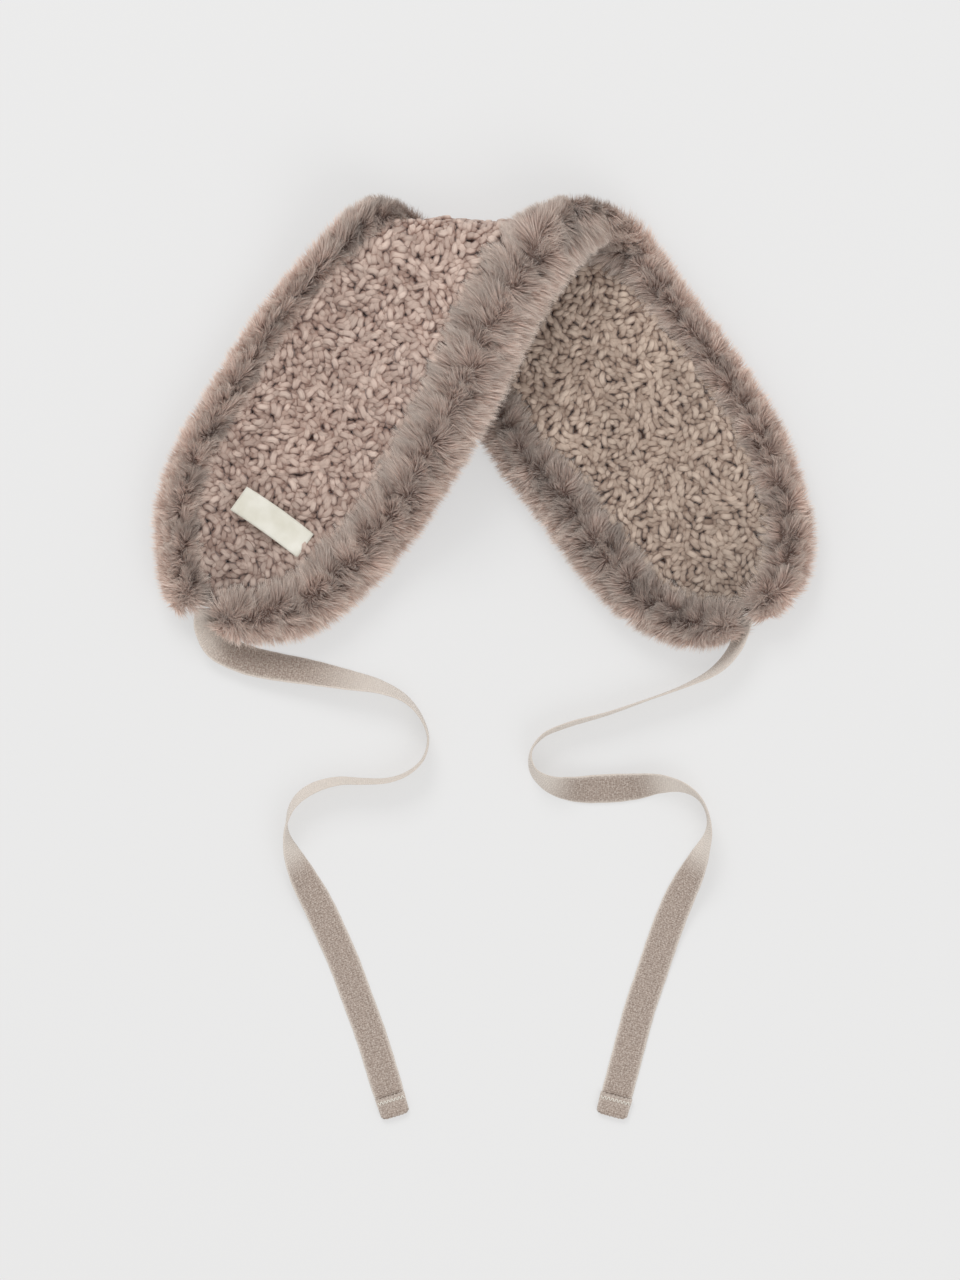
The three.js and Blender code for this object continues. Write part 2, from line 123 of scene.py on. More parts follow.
def lay_uv(piece: bpy.types.Object, uv: Array) -> None:
    """Gives a piece a UV map from one pair of numbers for each corner point."""
    corners = np.empty(len(piece.data.loops), np.int32)
    piece.data.loops.foreach_get("vertex_index", corners)
    layer = piece.data.uv_layers.new(name="weave")
    layer.uv.foreach_set("vector", np.ascontiguousarray(uv[corners], np.float32).ravel())


def grid_faces(rows: int, columns: int, closed: bool = False) -> Array:
    """Faces of a grid of points, numbered row by row.

    Args:
        rows: Number of rows of points.
        columns: Number of points in a row.
        closed: True where each row closes on itself.

    Returns:
        Corner numbers, four to a face.
    """
    i = np.arange(rows - 1)[:, None]
    j = np.arange(columns if closed else columns - 1)[None, :]
    k = (j + 1) % columns
    quads = (i * columns + j, i * columns + k, (i + 1) * columns + k, (i + 1) * columns + j)
    return np.stack(np.broadcast_arrays(*quads), axis=-1).reshape(-1, 4)


def slab_faces(rows: int, columns: int) -> Array:
    """Returns faces of a closed wall, whose rows are those that ringed() makes."""
    count = 2 * columns
    j = np.arange(columns - 1)
    start = np.stack([j, count - 1 - j, count - 2 - j, j + 1], axis=1)
    end = start[:, ::-1] + (rows - 1) * count
    return np.vstack([grid_faces(rows, count, closed=True), start, end])


def ringed(near: Array, far: Array) -> Array:
    """Returns the rows of a wall's near side, each followed by its far side's row in reverse."""
    return np.concatenate([near, far[:, ::-1]], axis=1)


def split_quads(quads: Array) -> Array:
    """Returns two triangles for each face of four corners."""
    return np.concatenate([quads[:, [0, 1, 2]], quads[:, [0, 2, 3]]])


def tube_faces(rings: int, sides: int) -> Array:
    """Triangles of a closed tube.

    Args:
        rings: Number of its rings of points.
        sides: Number of points in a ring.

    Returns:
        Corner numbers. The middles of both ends are numbered after all the rings.
    """
    j = np.arange(sides)
    k = (j + 1) % sides
    base = (rings - 1) * sides
    first = np.stack([np.full(sides, rings * sides), k, j], axis=1)
    last = np.stack([np.full(sides, rings * sides + 1), base + j, base + k], axis=1)
    return np.concatenate([split_quads(grid_faces(rings, sides, closed=True)), first, last])


def copies(faces: Array, count: int, size: int) -> Array:
    """Returns the faces of many like forms, each of which has that number of points."""
    return (faces[None] + (np.arange(count) * size)[:, None, None]).reshape(-1, 3)


def new_tubes(name: str, rings: Array, turned: bool = False) -> bpy.types.Object:
    """Makes one mesh of many small closed tubes, whose first and last rings draw to a point.

    Args:
        name: The object's name.
        rings: Points, tubes by rings by sides by 3.
        turned: True where the rings run round the other way.

    Returns:
        The tubes. Each has the points of its inner rings, then its two end points.
    """
    count, number, sides, _ = rings.shape
    ends = rings[:, [0, -1]].mean(2)
    points = np.concatenate([rings[:, 1:-1].reshape(count, -1, 3), ends], axis=1)
    faces = tube_faces(number - 2, sides)
    faces = copies(faces if turned else faces[:, ::-1], count, points.shape[1])
    return new_mesh(name, points.reshape(-1, 3), faces)


def new_tube(name: str, rings: Array, uv: Array, turned: bool = False) -> bpy.types.Object:
    """Makes one closed tube with a flat end at each side.

    Args:
        name: The object's name.
        rings: Points, rings by sides by 3.
        uv: A pair for each of those points, the distance along the tube first.
        turned: True where the rings run round the other way.

    Returns:
        The tube, with its UV map.
    """
    points = np.vstack([rings.reshape(-1, 3), rings[0].mean(0), rings[-1].mean(0)])
    faces = tube_faces(*rings.shape[:2])
    piece = new_mesh(name, points, faces[:, ::-1] if turned else faces)
    lay_uv(piece, np.vstack([uv, [0.0, 0.0], [uv[-1, 0], 0.0]]))
    return piece


def rungs(count: int) -> Array:
    """Returns triangles that fill a flat ring of points, from side to side like a ladder."""
    i, j = np.arange((count - 1) // 2), np.arange((count - 2) // 2)
    near = np.stack([i, i + 1, count - 1 - i], axis=1)
    far = np.stack([j + 1, count - 2 - j, count - 1 - j], axis=1)
    return np.concatenate([near, far])


def tube_values(values: Array, ends: tuple[float, float]) -> Array:
    """Returns numbers for the points of such tubes, from those of all rings and both ends."""
    count = len(values)
    return np.concatenate([values[:, 1:-1].reshape(count, -1), np.tile(ends, (count, 1))], axis=1)


def between(table: Array, a: Array, b: Array) -> Array:
    """Value of a table between its rows and columns, weighed from the four nearest.

    Args:
        table: Rows by columns, of numbers or of vectors.
        a: Places along the rows, counted in rows.
        b: Places along the columns.

    Returns:
        One value or vector for each place.
    """
    i, j = a.astype(int), b.astype(int)
    shape = (-1,) + (1,) * (table.ndim - 2)
    down, over = (a - i).reshape(shape), (b - j).reshape(shape)
    low = table[i, j] * (1 - down) + table[i + 1, j] * down
    high = table[i, j + 1] * (1 - down) + table[i + 1, j + 1] * down
    return low * (1 - over) + high * over


class SmoothLine:
    """A centripetal Catmull-Rom line through a list of points."""

    SAMPLES = 1201

    def __init__(self, points: Array) -> None:
        """Keeps the points, with one more past each end in line with the last two."""
        given = np.asarray(points, float)
        self.spans = len(given) - 1
        self.points = np.vstack([2 * given[0] - given[1], given, 2 * given[-1] - given[-2]])
        self.gaps = np.linalg.norm(np.diff(self.points, axis=0), axis=1) ** 0.5
        shares = np.linspace(0.0, 1.0, self.SAMPLES)
        steps = np.linalg.norm(np.diff(self.at(shares)[0], axis=0), axis=1)
        self.shares = shares
        self.run = np.concatenate([[0.0], np.cumsum(steps)])

    def at(self, share: Array) -> tuple[Array, Array]:
        """Cubic between neighbouring points, with slopes from the root of their distances.

        Args:
            share: Place along the list of points, 0 to 1.

        Returns:
            Points and their derivatives.
        """
        place = np.clip(share, 0.0, 1.0) * self.spans
        row = np.minimum(place.astype(int), self.spans - 1)
        w = (place - row)[:, None]
        p0, p1, p2, p3 = (self.points[row + k] for k in range(4))
        g0, g1, g2 = (self.gaps[row + k][:, None] for k in range(3))
        m1 = ((p1 - p0) / g0 - (p2 - p0) / (g0 + g1) + (p2 - p1) / g1) * g1
        m2 = ((p2 - p1) / g1 - (p3 - p1) / (g1 + g2) + (p3 - p2) / g2) * g1
        c2 = 3 * (p2 - p1) - 2 * m1 - m2
        c3 = 2 * (p1 - p2) + m1 + m2
        return p1 + w * (m1 + w * (c2 + w * c3)), m1 + w * (2 * c2 + w * 3 * c3)

    def share_at(self, run: Array) -> Array:
        """Returns the share of the list at each distance along the line."""
        return np.interp(run, self.run, self.shares)

    @property
    def length(self) -> float:
        """Returns the line's length."""
        return float(self.run[-1])


# The folded band


class Lobe(Enum):
    """Where a section of the band lies."""

    FRONT = "front"
    TURN = "turn"
    BACK = "back"


class Edge(Enum):
    """The band's two long edges. The value is 1 where outward is left of the edge's direction."""

    LOWER = 1
    UPPER = -1


class Face(Enum):
    """The two cloths of the band. The value is the way its pile rises."""

    OUTER = 1
    LINING = -1


@dataclass(frozen=True)
class Section:
    """Middles of the two fur trims at one section, and their widths, as shares of the sizes."""

    lobe: Lobe
    lower: tuple[float, float]
    upper: tuple[float, float]
    lower_width: float
    upper_width: float


SECTIONS = (
    Section(Lobe.FRONT, (-0.9, -0.795), (-0.8, -0.855), 0.76, 0.62),
    Section(Lobe.FRONT, (-0.92, -0.68), (-0.71, -0.86), 0.78, 0.68),
    Section(Lobe.FRONT, (-0.93, -0.52), (-0.56, -0.805), 0.78, 0.78),
    Section(Lobe.FRONT, (-0.93, -0.38), (-0.425, -0.65), 0.76, 0.8),
    Section(Lobe.FRONT, (-0.875, -0.13), (-0.305, -0.455), 0.7, 0.8),
    Section(Lobe.FRONT, (-0.765, 0.145), (-0.19, -0.195), 0.66, 0.86),
    Section(Lobe.FRONT, (-0.655, 0.405), (-0.08, 0.095), 0.62, 0.94),
    Section(Lobe.FRONT, (-0.56, 0.58), (0.045, 0.485), 0.6, 1.0),
    Section(Lobe.FRONT, (-0.475, 0.71), (0.145, 0.71), 0.6, 1.0),
    Section(Lobe.TURN, (-0.32, 0.5), (0.27, 0.5), 0.62, 0.95),
    Section(Lobe.BACK, (-0.17, 0.71), (0.45, 0.71), 0.7, 0.66),
    Section(Lobe.BACK, (-0.115, 0.52), (0.535, 0.56), 0.78, 0.57),
    Section(Lobe.BACK, (-0.025, 0.225), (0.65, 0.35), 0.84, 0.54),
    Section(Lobe.BACK, (0.09, -0.11), (0.76, 0.125), 0.9, 0.54),
    Section(Lobe.BACK, (0.225, -0.335), (0.845, -0.095), 1.0, 0.57),
    Section(Lobe.BACK, (0.345, -0.57), (0.9, -0.325), 1.0, 0.58),
    Section(Lobe.BACK, (0.465, -0.765), (0.92, -0.52), 0.94, 0.62),
    Section(Lobe.BACK, (0.6, -0.875), (0.895, -0.695), 0.86, 0.6),
    Section(Lobe.BACK, (0.74, -0.89), (0.82, -0.82), 0.76, 0.5),
)
SUPPORT_ROWS = (10, 13)


@dataclass
class FoldedBand:
    """The band's form: the plan that it was cut to, and how that is folded and lies."""

    span: float = 0.318
    depth: float = 0.221
    upper_trim_width: float = 0.042
    lower_trim_width: float = 0.031
    lock_rise: float = 0.0022
    slot_depth: float = 0.008
    lip: float = 0.0005
    fold_radius: float = 0.013
    least_radius: float = 0.0015
    fold_place: float = 0.715
    edge_height: float = 0.010
    centre_height: float = 0.0042
    sag_run: float = 0.020
    fall_run: float = 0.062
    fall_margin: float = 0.003
    map_step: float = 0.002
    map_margin: float = 0.03
    outline_points: int = 161
    rails: dict[Edge, SmoothLine] = field(init=False)

    def __post_init__(self) -> None:
        """Works out the two rails, the support line and the map of distances to the outline."""
        self.fold_line = self.fold_place * self.depth / 2
        self.fold_run = math.pi * self.fold_radius
        self.bare_inset = self.slot_depth + self.lip
        self.rails = {edge: self._rail(edge) for edge in Edge}
        first, last = (SECTIONS[row].lower for row in SUPPORT_ROWS)
        scale = np.array([self.span / 2, self.depth / 2])
        self.support = np.array(first) * scale
        run = np.array(last) * scale - self.support
        self.support_out = unit(np.array([run[1], -run[0]]))
        self._map_insets()

    def _rail(self, edge: Edge) -> SmoothLine:
        """Returns the line along one trim's middle in the unfolded plan, with its half width."""
        rows = []
        for section in SECTIONS:
            across, up = section.lower if edge is Edge.LOWER else section.upper
            run = {
                Lobe.FRONT: up * self.depth / 2,
                Lobe.TURN: self.fold_line + up * self.fold_run,
                Lobe.BACK: 2 * self.fold_line + self.fold_run - up * self.depth / 2,
            }[section.lobe]
            share, width = (
                (section.lower_width, self.lower_trim_width)
                if edge is Edge.LOWER
                else (section.upper_width, self.upper_trim_width)
            )
            rows.append((across * self.span / 2, run, share * width / 2 - self.lock_rise))
        return SmoothLine(np.array(rows))

    def along(self, edge: Edge, share: Array) -> tuple[Array, Array, Array, Array]:
        """Frame of a rail in the unfolded plan.

        Args:
            edge: Which rail.
            share: Place along it, 0 to 1.

        Returns:
            Places, half widths, directions and outward normals.
        """
        point, slope = self.rails[edge].at(share)
        direction = unit(slope[:, :2])
        outward = np.stack([-direction[:, 1], direction[:, 0]], axis=1) * edge.value
        return point[:, :2], point[:, 2], direction, outward

    def cloth_edge(self, edge: Edge, share: Array) -> Array:
        """Returns the cloth's edge, which lies inside the trim's slot."""
        place, half, _, outward = self.along(edge, share)
        return place + outward * (self.slot_depth - half)[:, None]

    def _map_insets(self) -> None:
        """Keeps the distance to the cloth's outline on a fine grid of the unfolded plan."""
        share = np.linspace(0.0, 1.0, self.outline_points)
        outline = np.vstack(
            [self.cloth_edge(Edge.LOWER, share), self.cloth_edge(Edge.UPPER, share[::-1])]
        )
        start, run = outline, np.roll(outline, -1, axis=0) - outline
        square = np.maximum((run**2).sum(1), 1e-14)
        low, high = outline.min(0) - self.map_margin, outline.max(0) + self.map_margin
        self.map_low = low
        counts = np.ceil((high - low) / self.map_step).astype(int) + 1
        gx = low[0] + np.arange(counts[0]) * self.map_step
        gy = low[1] + np.arange(counts[1]) * self.map_step
        near = np.full((counts[0], counts[1]), np.inf)
        for (sx, sy), (rx, ry), total in zip(start, run, square):
            dx, dy = gx[:, None] - sx, gy[None, :] - sy
            w = np.clip((dx * rx + dy * ry) / total, 0.0, 1.0)
            near = np.minimum(near, (dx - w * rx) ** 2 + (dy - w * ry) ** 2)
        self.insets = np.sqrt(near)

    def inset(self, x: Array, run: Array) -> Array:
        """Returns the distance to the cloth's outline, read from the map."""
        place = (np.stack([x, run]) - self.map_low[:, None]) / self.map_step
        last = np.array(self.insets.shape)[:, None] - 1.001
        return between(self.insets, *np.clip(place, 0, last))

    def turn(self, run: Array) -> Array:
        """Returns the angle round the fold: 0 on the front lobe, pi on the back lobe."""
        return np.clip((run - self.fold_line) / self.fold_radius, 0.0, math.pi)

    def fold(self, x: Array, run: Array, rise: Array, inset: Array | float) -> Array:
        """Folds points of the band.

        The front lobe keeps its plan, the turn goes round a half cylinder, and the back lobe
        lies mirrored beneath. The front lobe comes down past the back lobe's hidden edge, each
        lobe sags between its trims, and nothing goes below the surface.

        Args:
            x: Place across.
            run: Distance up the unfolded plan.
            rise: Distance from the middle of the cloths toward the outer cloth's side.
            inset: Distance in from the cloth's outline.

        Returns:
            Places in the row's frame, n by 3.
        """
        radius_0, line = self.fold_radius, self.fold_line
        turn = self.turn(run)
        past = run - line
        radius = np.maximum(radius_0 + rise, self.least_radius)
        on_turn, on_back = (past > 0) & (past < self.fold_run), past >= self.fold_run
        y = np.where(on_turn, line + radius * np.sin(turn), run)
        y = np.where(on_back, line - (past - self.fold_run), y)
        z = self.edge_height + 2 * radius_0 + rise
        z = np.where(on_turn, self.edge_height + radius_0 + radius * np.cos(turn), z)
        z = np.where(on_back, self.edge_height - rise, z)
        beyond = (x - self.support[0]) * self.support_out[0]
        beyond = beyond + (y - self.support[1]) * self.support_out[1]
        clear = beyond - self.lower_trim_width / 2 - self.fall_margin
        fall = 2 * radius_0 * smooth(clear / self.fall_run)
        sag = (self.edge_height - self.centre_height) * smooth((inset - self.bare_inset) / self.sag_run)
        z = z - fall * (1 + np.cos(turn)) / 2 - sag * np.abs(np.cos(turn))
        return np.stack([x + 0 * y, y, np.maximum(z, 0.0)], axis=-1)


# Finishes


def linear(red: int, green: int, blue: int) -> Colour:
    """Returns a screen colour of 0 to 255 as linear light with full alpha."""
    shares = [value / 255 for value in (red, green, blue)]
    bent = [s / 12.92 if s <= 0.04045 else ((s + 0.055) / 1.055) ** 2.4 for s in shares]
    return bent[0], bent[1], bent[2], 1.0


class Paint:
    """A material's nodes, added one after another."""

    SHEEN_ROUGHNESS = 0.5
    SPECULAR = 0.25

    def __init__(self, name: str, roughness: float, sheen: float = 0.0) -> None:
        """Starts a material of that name with a shader of that roughness and sheen."""
        self.material = bpy.data.materials.new(name)
        self.material.use_nodes = True
        self.tree = self.material.node_tree
        self.tree.nodes.clear()
        self.shader = self.tree.nodes.new("ShaderNodeBsdfPrincipled")
        self.shader.inputs["Roughness"].default_value = roughness
        self.shader.inputs["Sheen Weight"].default_value = sheen
        self.shader.inputs["Sheen Roughness"].default_value = self.SHEEN_ROUGHNESS
        self.shader.inputs["Specular IOR Level"].default_value = self.SPECULAR
        out = self.tree.nodes.new("ShaderNodeOutputMaterial")
        self.tree.links.new(self.shader.outputs["BSDF"], out.inputs["Surface"])

    def add(self, kind: str, settings: dict | None = None, **inputs: object) -> bpy.types.Node:
        """Adds a node.

        Args:
            kind: Blender's name of the node, without ShaderNode.
            settings: The node's own properties.
            **inputs: Values or sockets for its inputs, their names with _ for each space.

        Returns:
            The new node.
        """
        node = self.tree.nodes.new("ShaderNode" + kind)
        for key, value in (settings or {}).items():
            setattr(node, key, value)
        for key, value in inputs.items():
            self.join(node, key.replace("_", " "), value)
        return node

    def join(self, node: bpy.types.Node, key: str | int, value: object) -> None:
        """Sets an input of a node to a value, or links it from a socket."""
        if isinstance(value, bpy.types.NodeSocket):
            self.tree.links.new(value, node.inputs[key])
        else:
            node.inputs[key].default_value = value

    def kept(self, name: str) -> bpy.types.NodeSocket:
        """Returns the number that a piece keeps under that name."""
        return self.add("Attribute", {"attribute_name": name}).outputs["Fac"]

    def uv(self, scale: Point) -> bpy.types.NodeSocket:
        """Returns the piece's own UV map, scaled."""
        source = self.add("UVMap", {"uv_map": "weave"})
        return self.add("Mapping", Vector=source.outputs["UV"], Scale=scale).outputs["Vector"]

    def place(self) -> bpy.types.NodeSocket:
        """Returns the place on the object."""
        return self.add("TexCoord").outputs["Object"]

    def noise(self, vector: object, scale: float, detail: float = 2.0, rough: float = 0.5) -> object:
        """Returns a noise of 0 to 1 with that scale and detail."""
        node = self.add("TexNoise", Vector=vector, Scale=scale, Detail=detail, Roughness=rough)
        return node.outputs["Fac"]

    def total(self, first: object, second: object) -> object:
        """Returns the sum of two numbers."""
        node = self.add("Math", {"operation": "ADD"})
        self.join(node, 0, first)
        self.join(node, 1, second)
        return node.outputs["Value"]

    def ramp(self, share: object, stops: list[tuple[float, Colour]]) -> object:
        """Returns a colour from stops of place and colour."""
        node = self.add("ValToRGB", Fac=share)
        bar = node.color_ramp
        while len(bar.elements) < len(stops):
            bar.elements.new(0.5)
        for element, (place, colour) in zip(bar.elements, stops):
            element.position = place
            element.color = colour
        return node.outputs["Color"]

    def mix(self, share: object, first: object, second: object) -> object:
        """Returns the first colour at share 0 and the second at share 1."""
        node = self.add("Mix", {"data_type": "RGBA"})
        for index, value in ((0, share), (6, first), (7, second)):
            self.join(node, index, value)
        return node.outputs[2]

    def lit(self, colour: object, share: object, dark: float, light: float) -> object:
        """Returns a colour made darker or lighter: times dark at 0 and times light at 1."""
        scaled = self.add("MapRange", Value=share, To_Min=dark, To_Max=light).outputs["Result"]
        return self.add("VectorMath", {"operation": "SCALE"}, Vector=colour, Scale=scaled).outputs[0]

    def colour(self, value: object) -> None:
        """Gives the shader its colour."""
        self.join(self.shader, "Base Color", value)

    def bump(self, height: object, strength: float, distance: float) -> None:
        """Gives the shader a bump from a height of 0 to 1."""
        node = self.add("Bump", Height=height, Strength=strength, Distance=distance)
        self.join(self.shader, "Normal", node.outputs["Normal"])


@dataclass(frozen=True)
class FurFinish:
    """Fur: dark at the roots and paler at the tips, each hair of its own tone; outward tips carry
    painted rim light and some hairs painted shade.
    """

    name: str
    root: Colour
    middle: Colour
    tip: Colour

    def make(self) -> bpy.types.Material:
        """Returns the material of the hairs."""
        paint = Paint(self.name, roughness=0.6, sheen=0.3)
        stops = [(0.0, self.root), (0.5, self.middle), (1.0, self.tip)]
        colour = paint.ramp(paint.kept("along"), stops)
        # Each hair's tone number also carries its painted rim light and painted shade.
        paint.colour(paint.lit(colour, paint.kept("tone_and_painted_light"), dark=0.52, light=1.45))
        return paint.material


@dataclass(frozen=True)
class PeltFinish:
    """The dense underfur below the hairs, streaked along them."""

    name: str
    low: Colour
    high: Colour

    def make(self) -> bpy.types.Material:
        """Returns the material of the rolls that carry the hairs."""
        paint = Paint(self.name, roughness=0.9, sheen=0.2)
        streak = paint.noise(paint.uv((900.0, 180.0, 1.0)), scale=1.0, detail=3.0, rough=0.6)
        paint.colour(paint.ramp(streak, [(0.3, self.low), (0.75, self.high)]))
        paint.bump(streak, strength=0.8, distance=0.0015)
        return paint.material


@dataclass(frozen=True)
class BoucleFinish:
    """Looped pile, with a painted highlight on top of each curl and painted shade down its sides and
    between the curls.
    """

    name: str
    crevice_shade: Colour
    flank_shade: Colour
    body: Colour
    crown_highlight: Colour

    def make(self) -> bpy.types.Material:
        """Returns the material of the curls and of the cloth that carries them."""
        paint = Paint(self.name, roughness=0.85, sheen=0.3)
        # The ramp paints shade low on each curl and a highlight on top of it.
        stops = [(0.12, self.crevice_shade), (0.4, self.flank_shade), (0.72, self.body), (1.0, self.crown_highlight)]
        colour = paint.ramp(paint.kept("depth"), stops)
        # The tone number also carries painted shade and painted light.
        colour = paint.lit(colour, paint.kept("tone_and_painted_light"), dark=0.55, light=1.15)
        fibre = paint.noise(paint.uv((150.0, 1700.0, 1.0)), scale=1.0, detail=3.0, rough=0.6)
        paint.colour(paint.lit(colour, fibre, dark=0.76, light=1.2))
        paint.bump(fibre, strength=0.8, distance=0.0008)
        return paint.material


@dataclass(frozen=True)
class TapeFinish:
    """Melange knitted tape: fine ribs along it, and pale and dark flecks."""

    name: str
    dark: Colour
    body: Colour
    pale: Colour
    pale_edges_and_light: Colour

    def make(self) -> bpy.types.Material:
        """Returns the tape's material."""
        paint = Paint(self.name, roughness=0.85, sheen=0.25)
        vector = paint.uv((1.0, 1.0, 1.0))
        ribs = paint.add(
            "TexWave", {"bands_direction": "X"}, Vector=vector, Scale=300.0, Distortion=3.0,
            Detail=2.0, Detail_Scale=2.0,
        ).outputs["Fac"]
        flecks = paint.noise(paint.uv((960.0, 1150.0, 1.0)), scale=1.0, detail=3.0, rough=0.75)
        clouds = paint.noise(paint.uv((240.0, 300.0, 1.0)), scale=1.0, detail=2.0, rough=0.5)
        colour = paint.ramp(flecks, [(0.32, self.dark), (0.5, self.body), (0.68, self.pale)])
        colour = paint.lit(colour, clouds, dark=0.9, light=1.1)
        colour = paint.lit(colour, ribs, dark=0.9, light=1.06)
        # Pale along the edges, with painted light where the tape stands on edge and near its root.
        paint.colour(paint.mix(paint.kept("pale_edges_and_painted_light"), colour, self.pale_edges_and_light))
        paint.bump(paint.total(ribs, flecks), strength=0.45, distance=0.0005)
        return paint.material


@dataclass(frozen=True)
class RibbonFinish:
    """The label's cream ribbon with its fine weave."""

    name: str
    shade: Colour
    light: Colour

    def make(self) -> bpy.types.Material:
        """Returns the label's material."""
        paint = Paint(self.name, roughness=0.7, sheen=0.2)
        vector = paint.uv((1.0, 1.0, 1.0))
        weft = paint.add(
            "TexWave", {"bands_direction": "X"}, Vector=vector, Scale=520.0, Distortion=0.6
        )
        clouds = paint.noise(paint.uv((90.0, 90.0, 1.0)), scale=1.0, detail=3.0, rough=0.5)
        colour = paint.ramp(clouds, [(0.3, self.shade), (0.7, self.light)])
        paint.colour(paint.lit(colour, weft.outputs["Fac"], dark=0.95, light=1.03))
        paint.bump(weft.outputs["Fac"], strength=0.35, distance=0.0003)
        return paint.material


@dataclass(frozen=True)
class ThreadFinish:
    """Sewing thread with its twist."""

    name: str
    shade: Colour

    def make(self) -> bpy.types.Material:
        """Returns the thread's material."""
        paint = Paint(self.name, roughness=0.6, sheen=0.1)
        twist = paint.noise(paint.place(), scale=3500.0, detail=1.0)
        dark = (*(0.8 * part for part in self.shade[:3]), 1.0)
        paint.colour(paint.ramp(twist, [(0.3, dark), (0.7, self.shade)]))
        return paint.material


def dress(piece: bpy.types.Object, material: bpy.types.Material, slot: str, *nodes: str) -> None:
    """Gives a piece its material and puts it in place of CAD nodes."""
    piece.data.materials.clear()
    piece.data.materials.append(material)
    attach(piece, BODY)
    if nodes:
        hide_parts(*nodes)
    log.info("%s: %d faces", piece.name, len(piece.data.polygons))


# Cloths


@dataclass
class Curls:
    """The chances of many curls, with one number for each in every array."""

    turn: Array
    length: Array
    width: Array
    bend: Array
    s_shaped: Array
    height: Array
    perch: Array

    def flat_rings(self, u: Array, v: Array) -> tuple[Array, Array, Array]:
        """Rings of points round each curl's bent middle line.

        The line is an arc, or two that make an S. It rises in its middle and dips at both ends.

        Args:
            u: Places along the line, -1 to 1, one for each ring.
            v: Angles round it, one for each side.

        Returns:
            Places across, up the plan and above the cloth, curls by rings by sides.
        """
        arc = self.bend[:, None] * u / 2
        half = (self.length / self.bend)[:, None]
        mid_x = half * np.sin(arc)
        mid_y = half * (1 - np.cos(arc)) * np.where(self.s_shaped[:, None] & (u < 0), -1.0, 1.0)
        mid_y = mid_y - mid_y.mean(1, keepdims=True)
        dx, dy = np.gradient(mid_x, axis=1), np.gradient(mid_y, axis=1)
        norm = np.maximum(np.hypot(dx, dy), 1e-9)
        radius = (self.width[:, None] * (1 - np.abs(u) ** 3.6) ** 0.45)[..., None]
        lift = self.height[:, None] * (1.3 * (1 - u**2) ** 0.7 - 0.45) + self.perch[:, None]
        side_x = mid_x[..., None] - (dy / norm)[..., None] * radius * np.cos(v)
        side_y = mid_y[..., None] + (dx / norm)[..., None] * radius * np.cos(v)
        c, s = np.cos(self.turn)[:, None, None], np.sin(self.turn)[:, None, None]
        up = lift[..., None] + 0.92 * radius * np.sin(v)
        return c * side_x - s * side_y, s * side_x + c * side_y, up


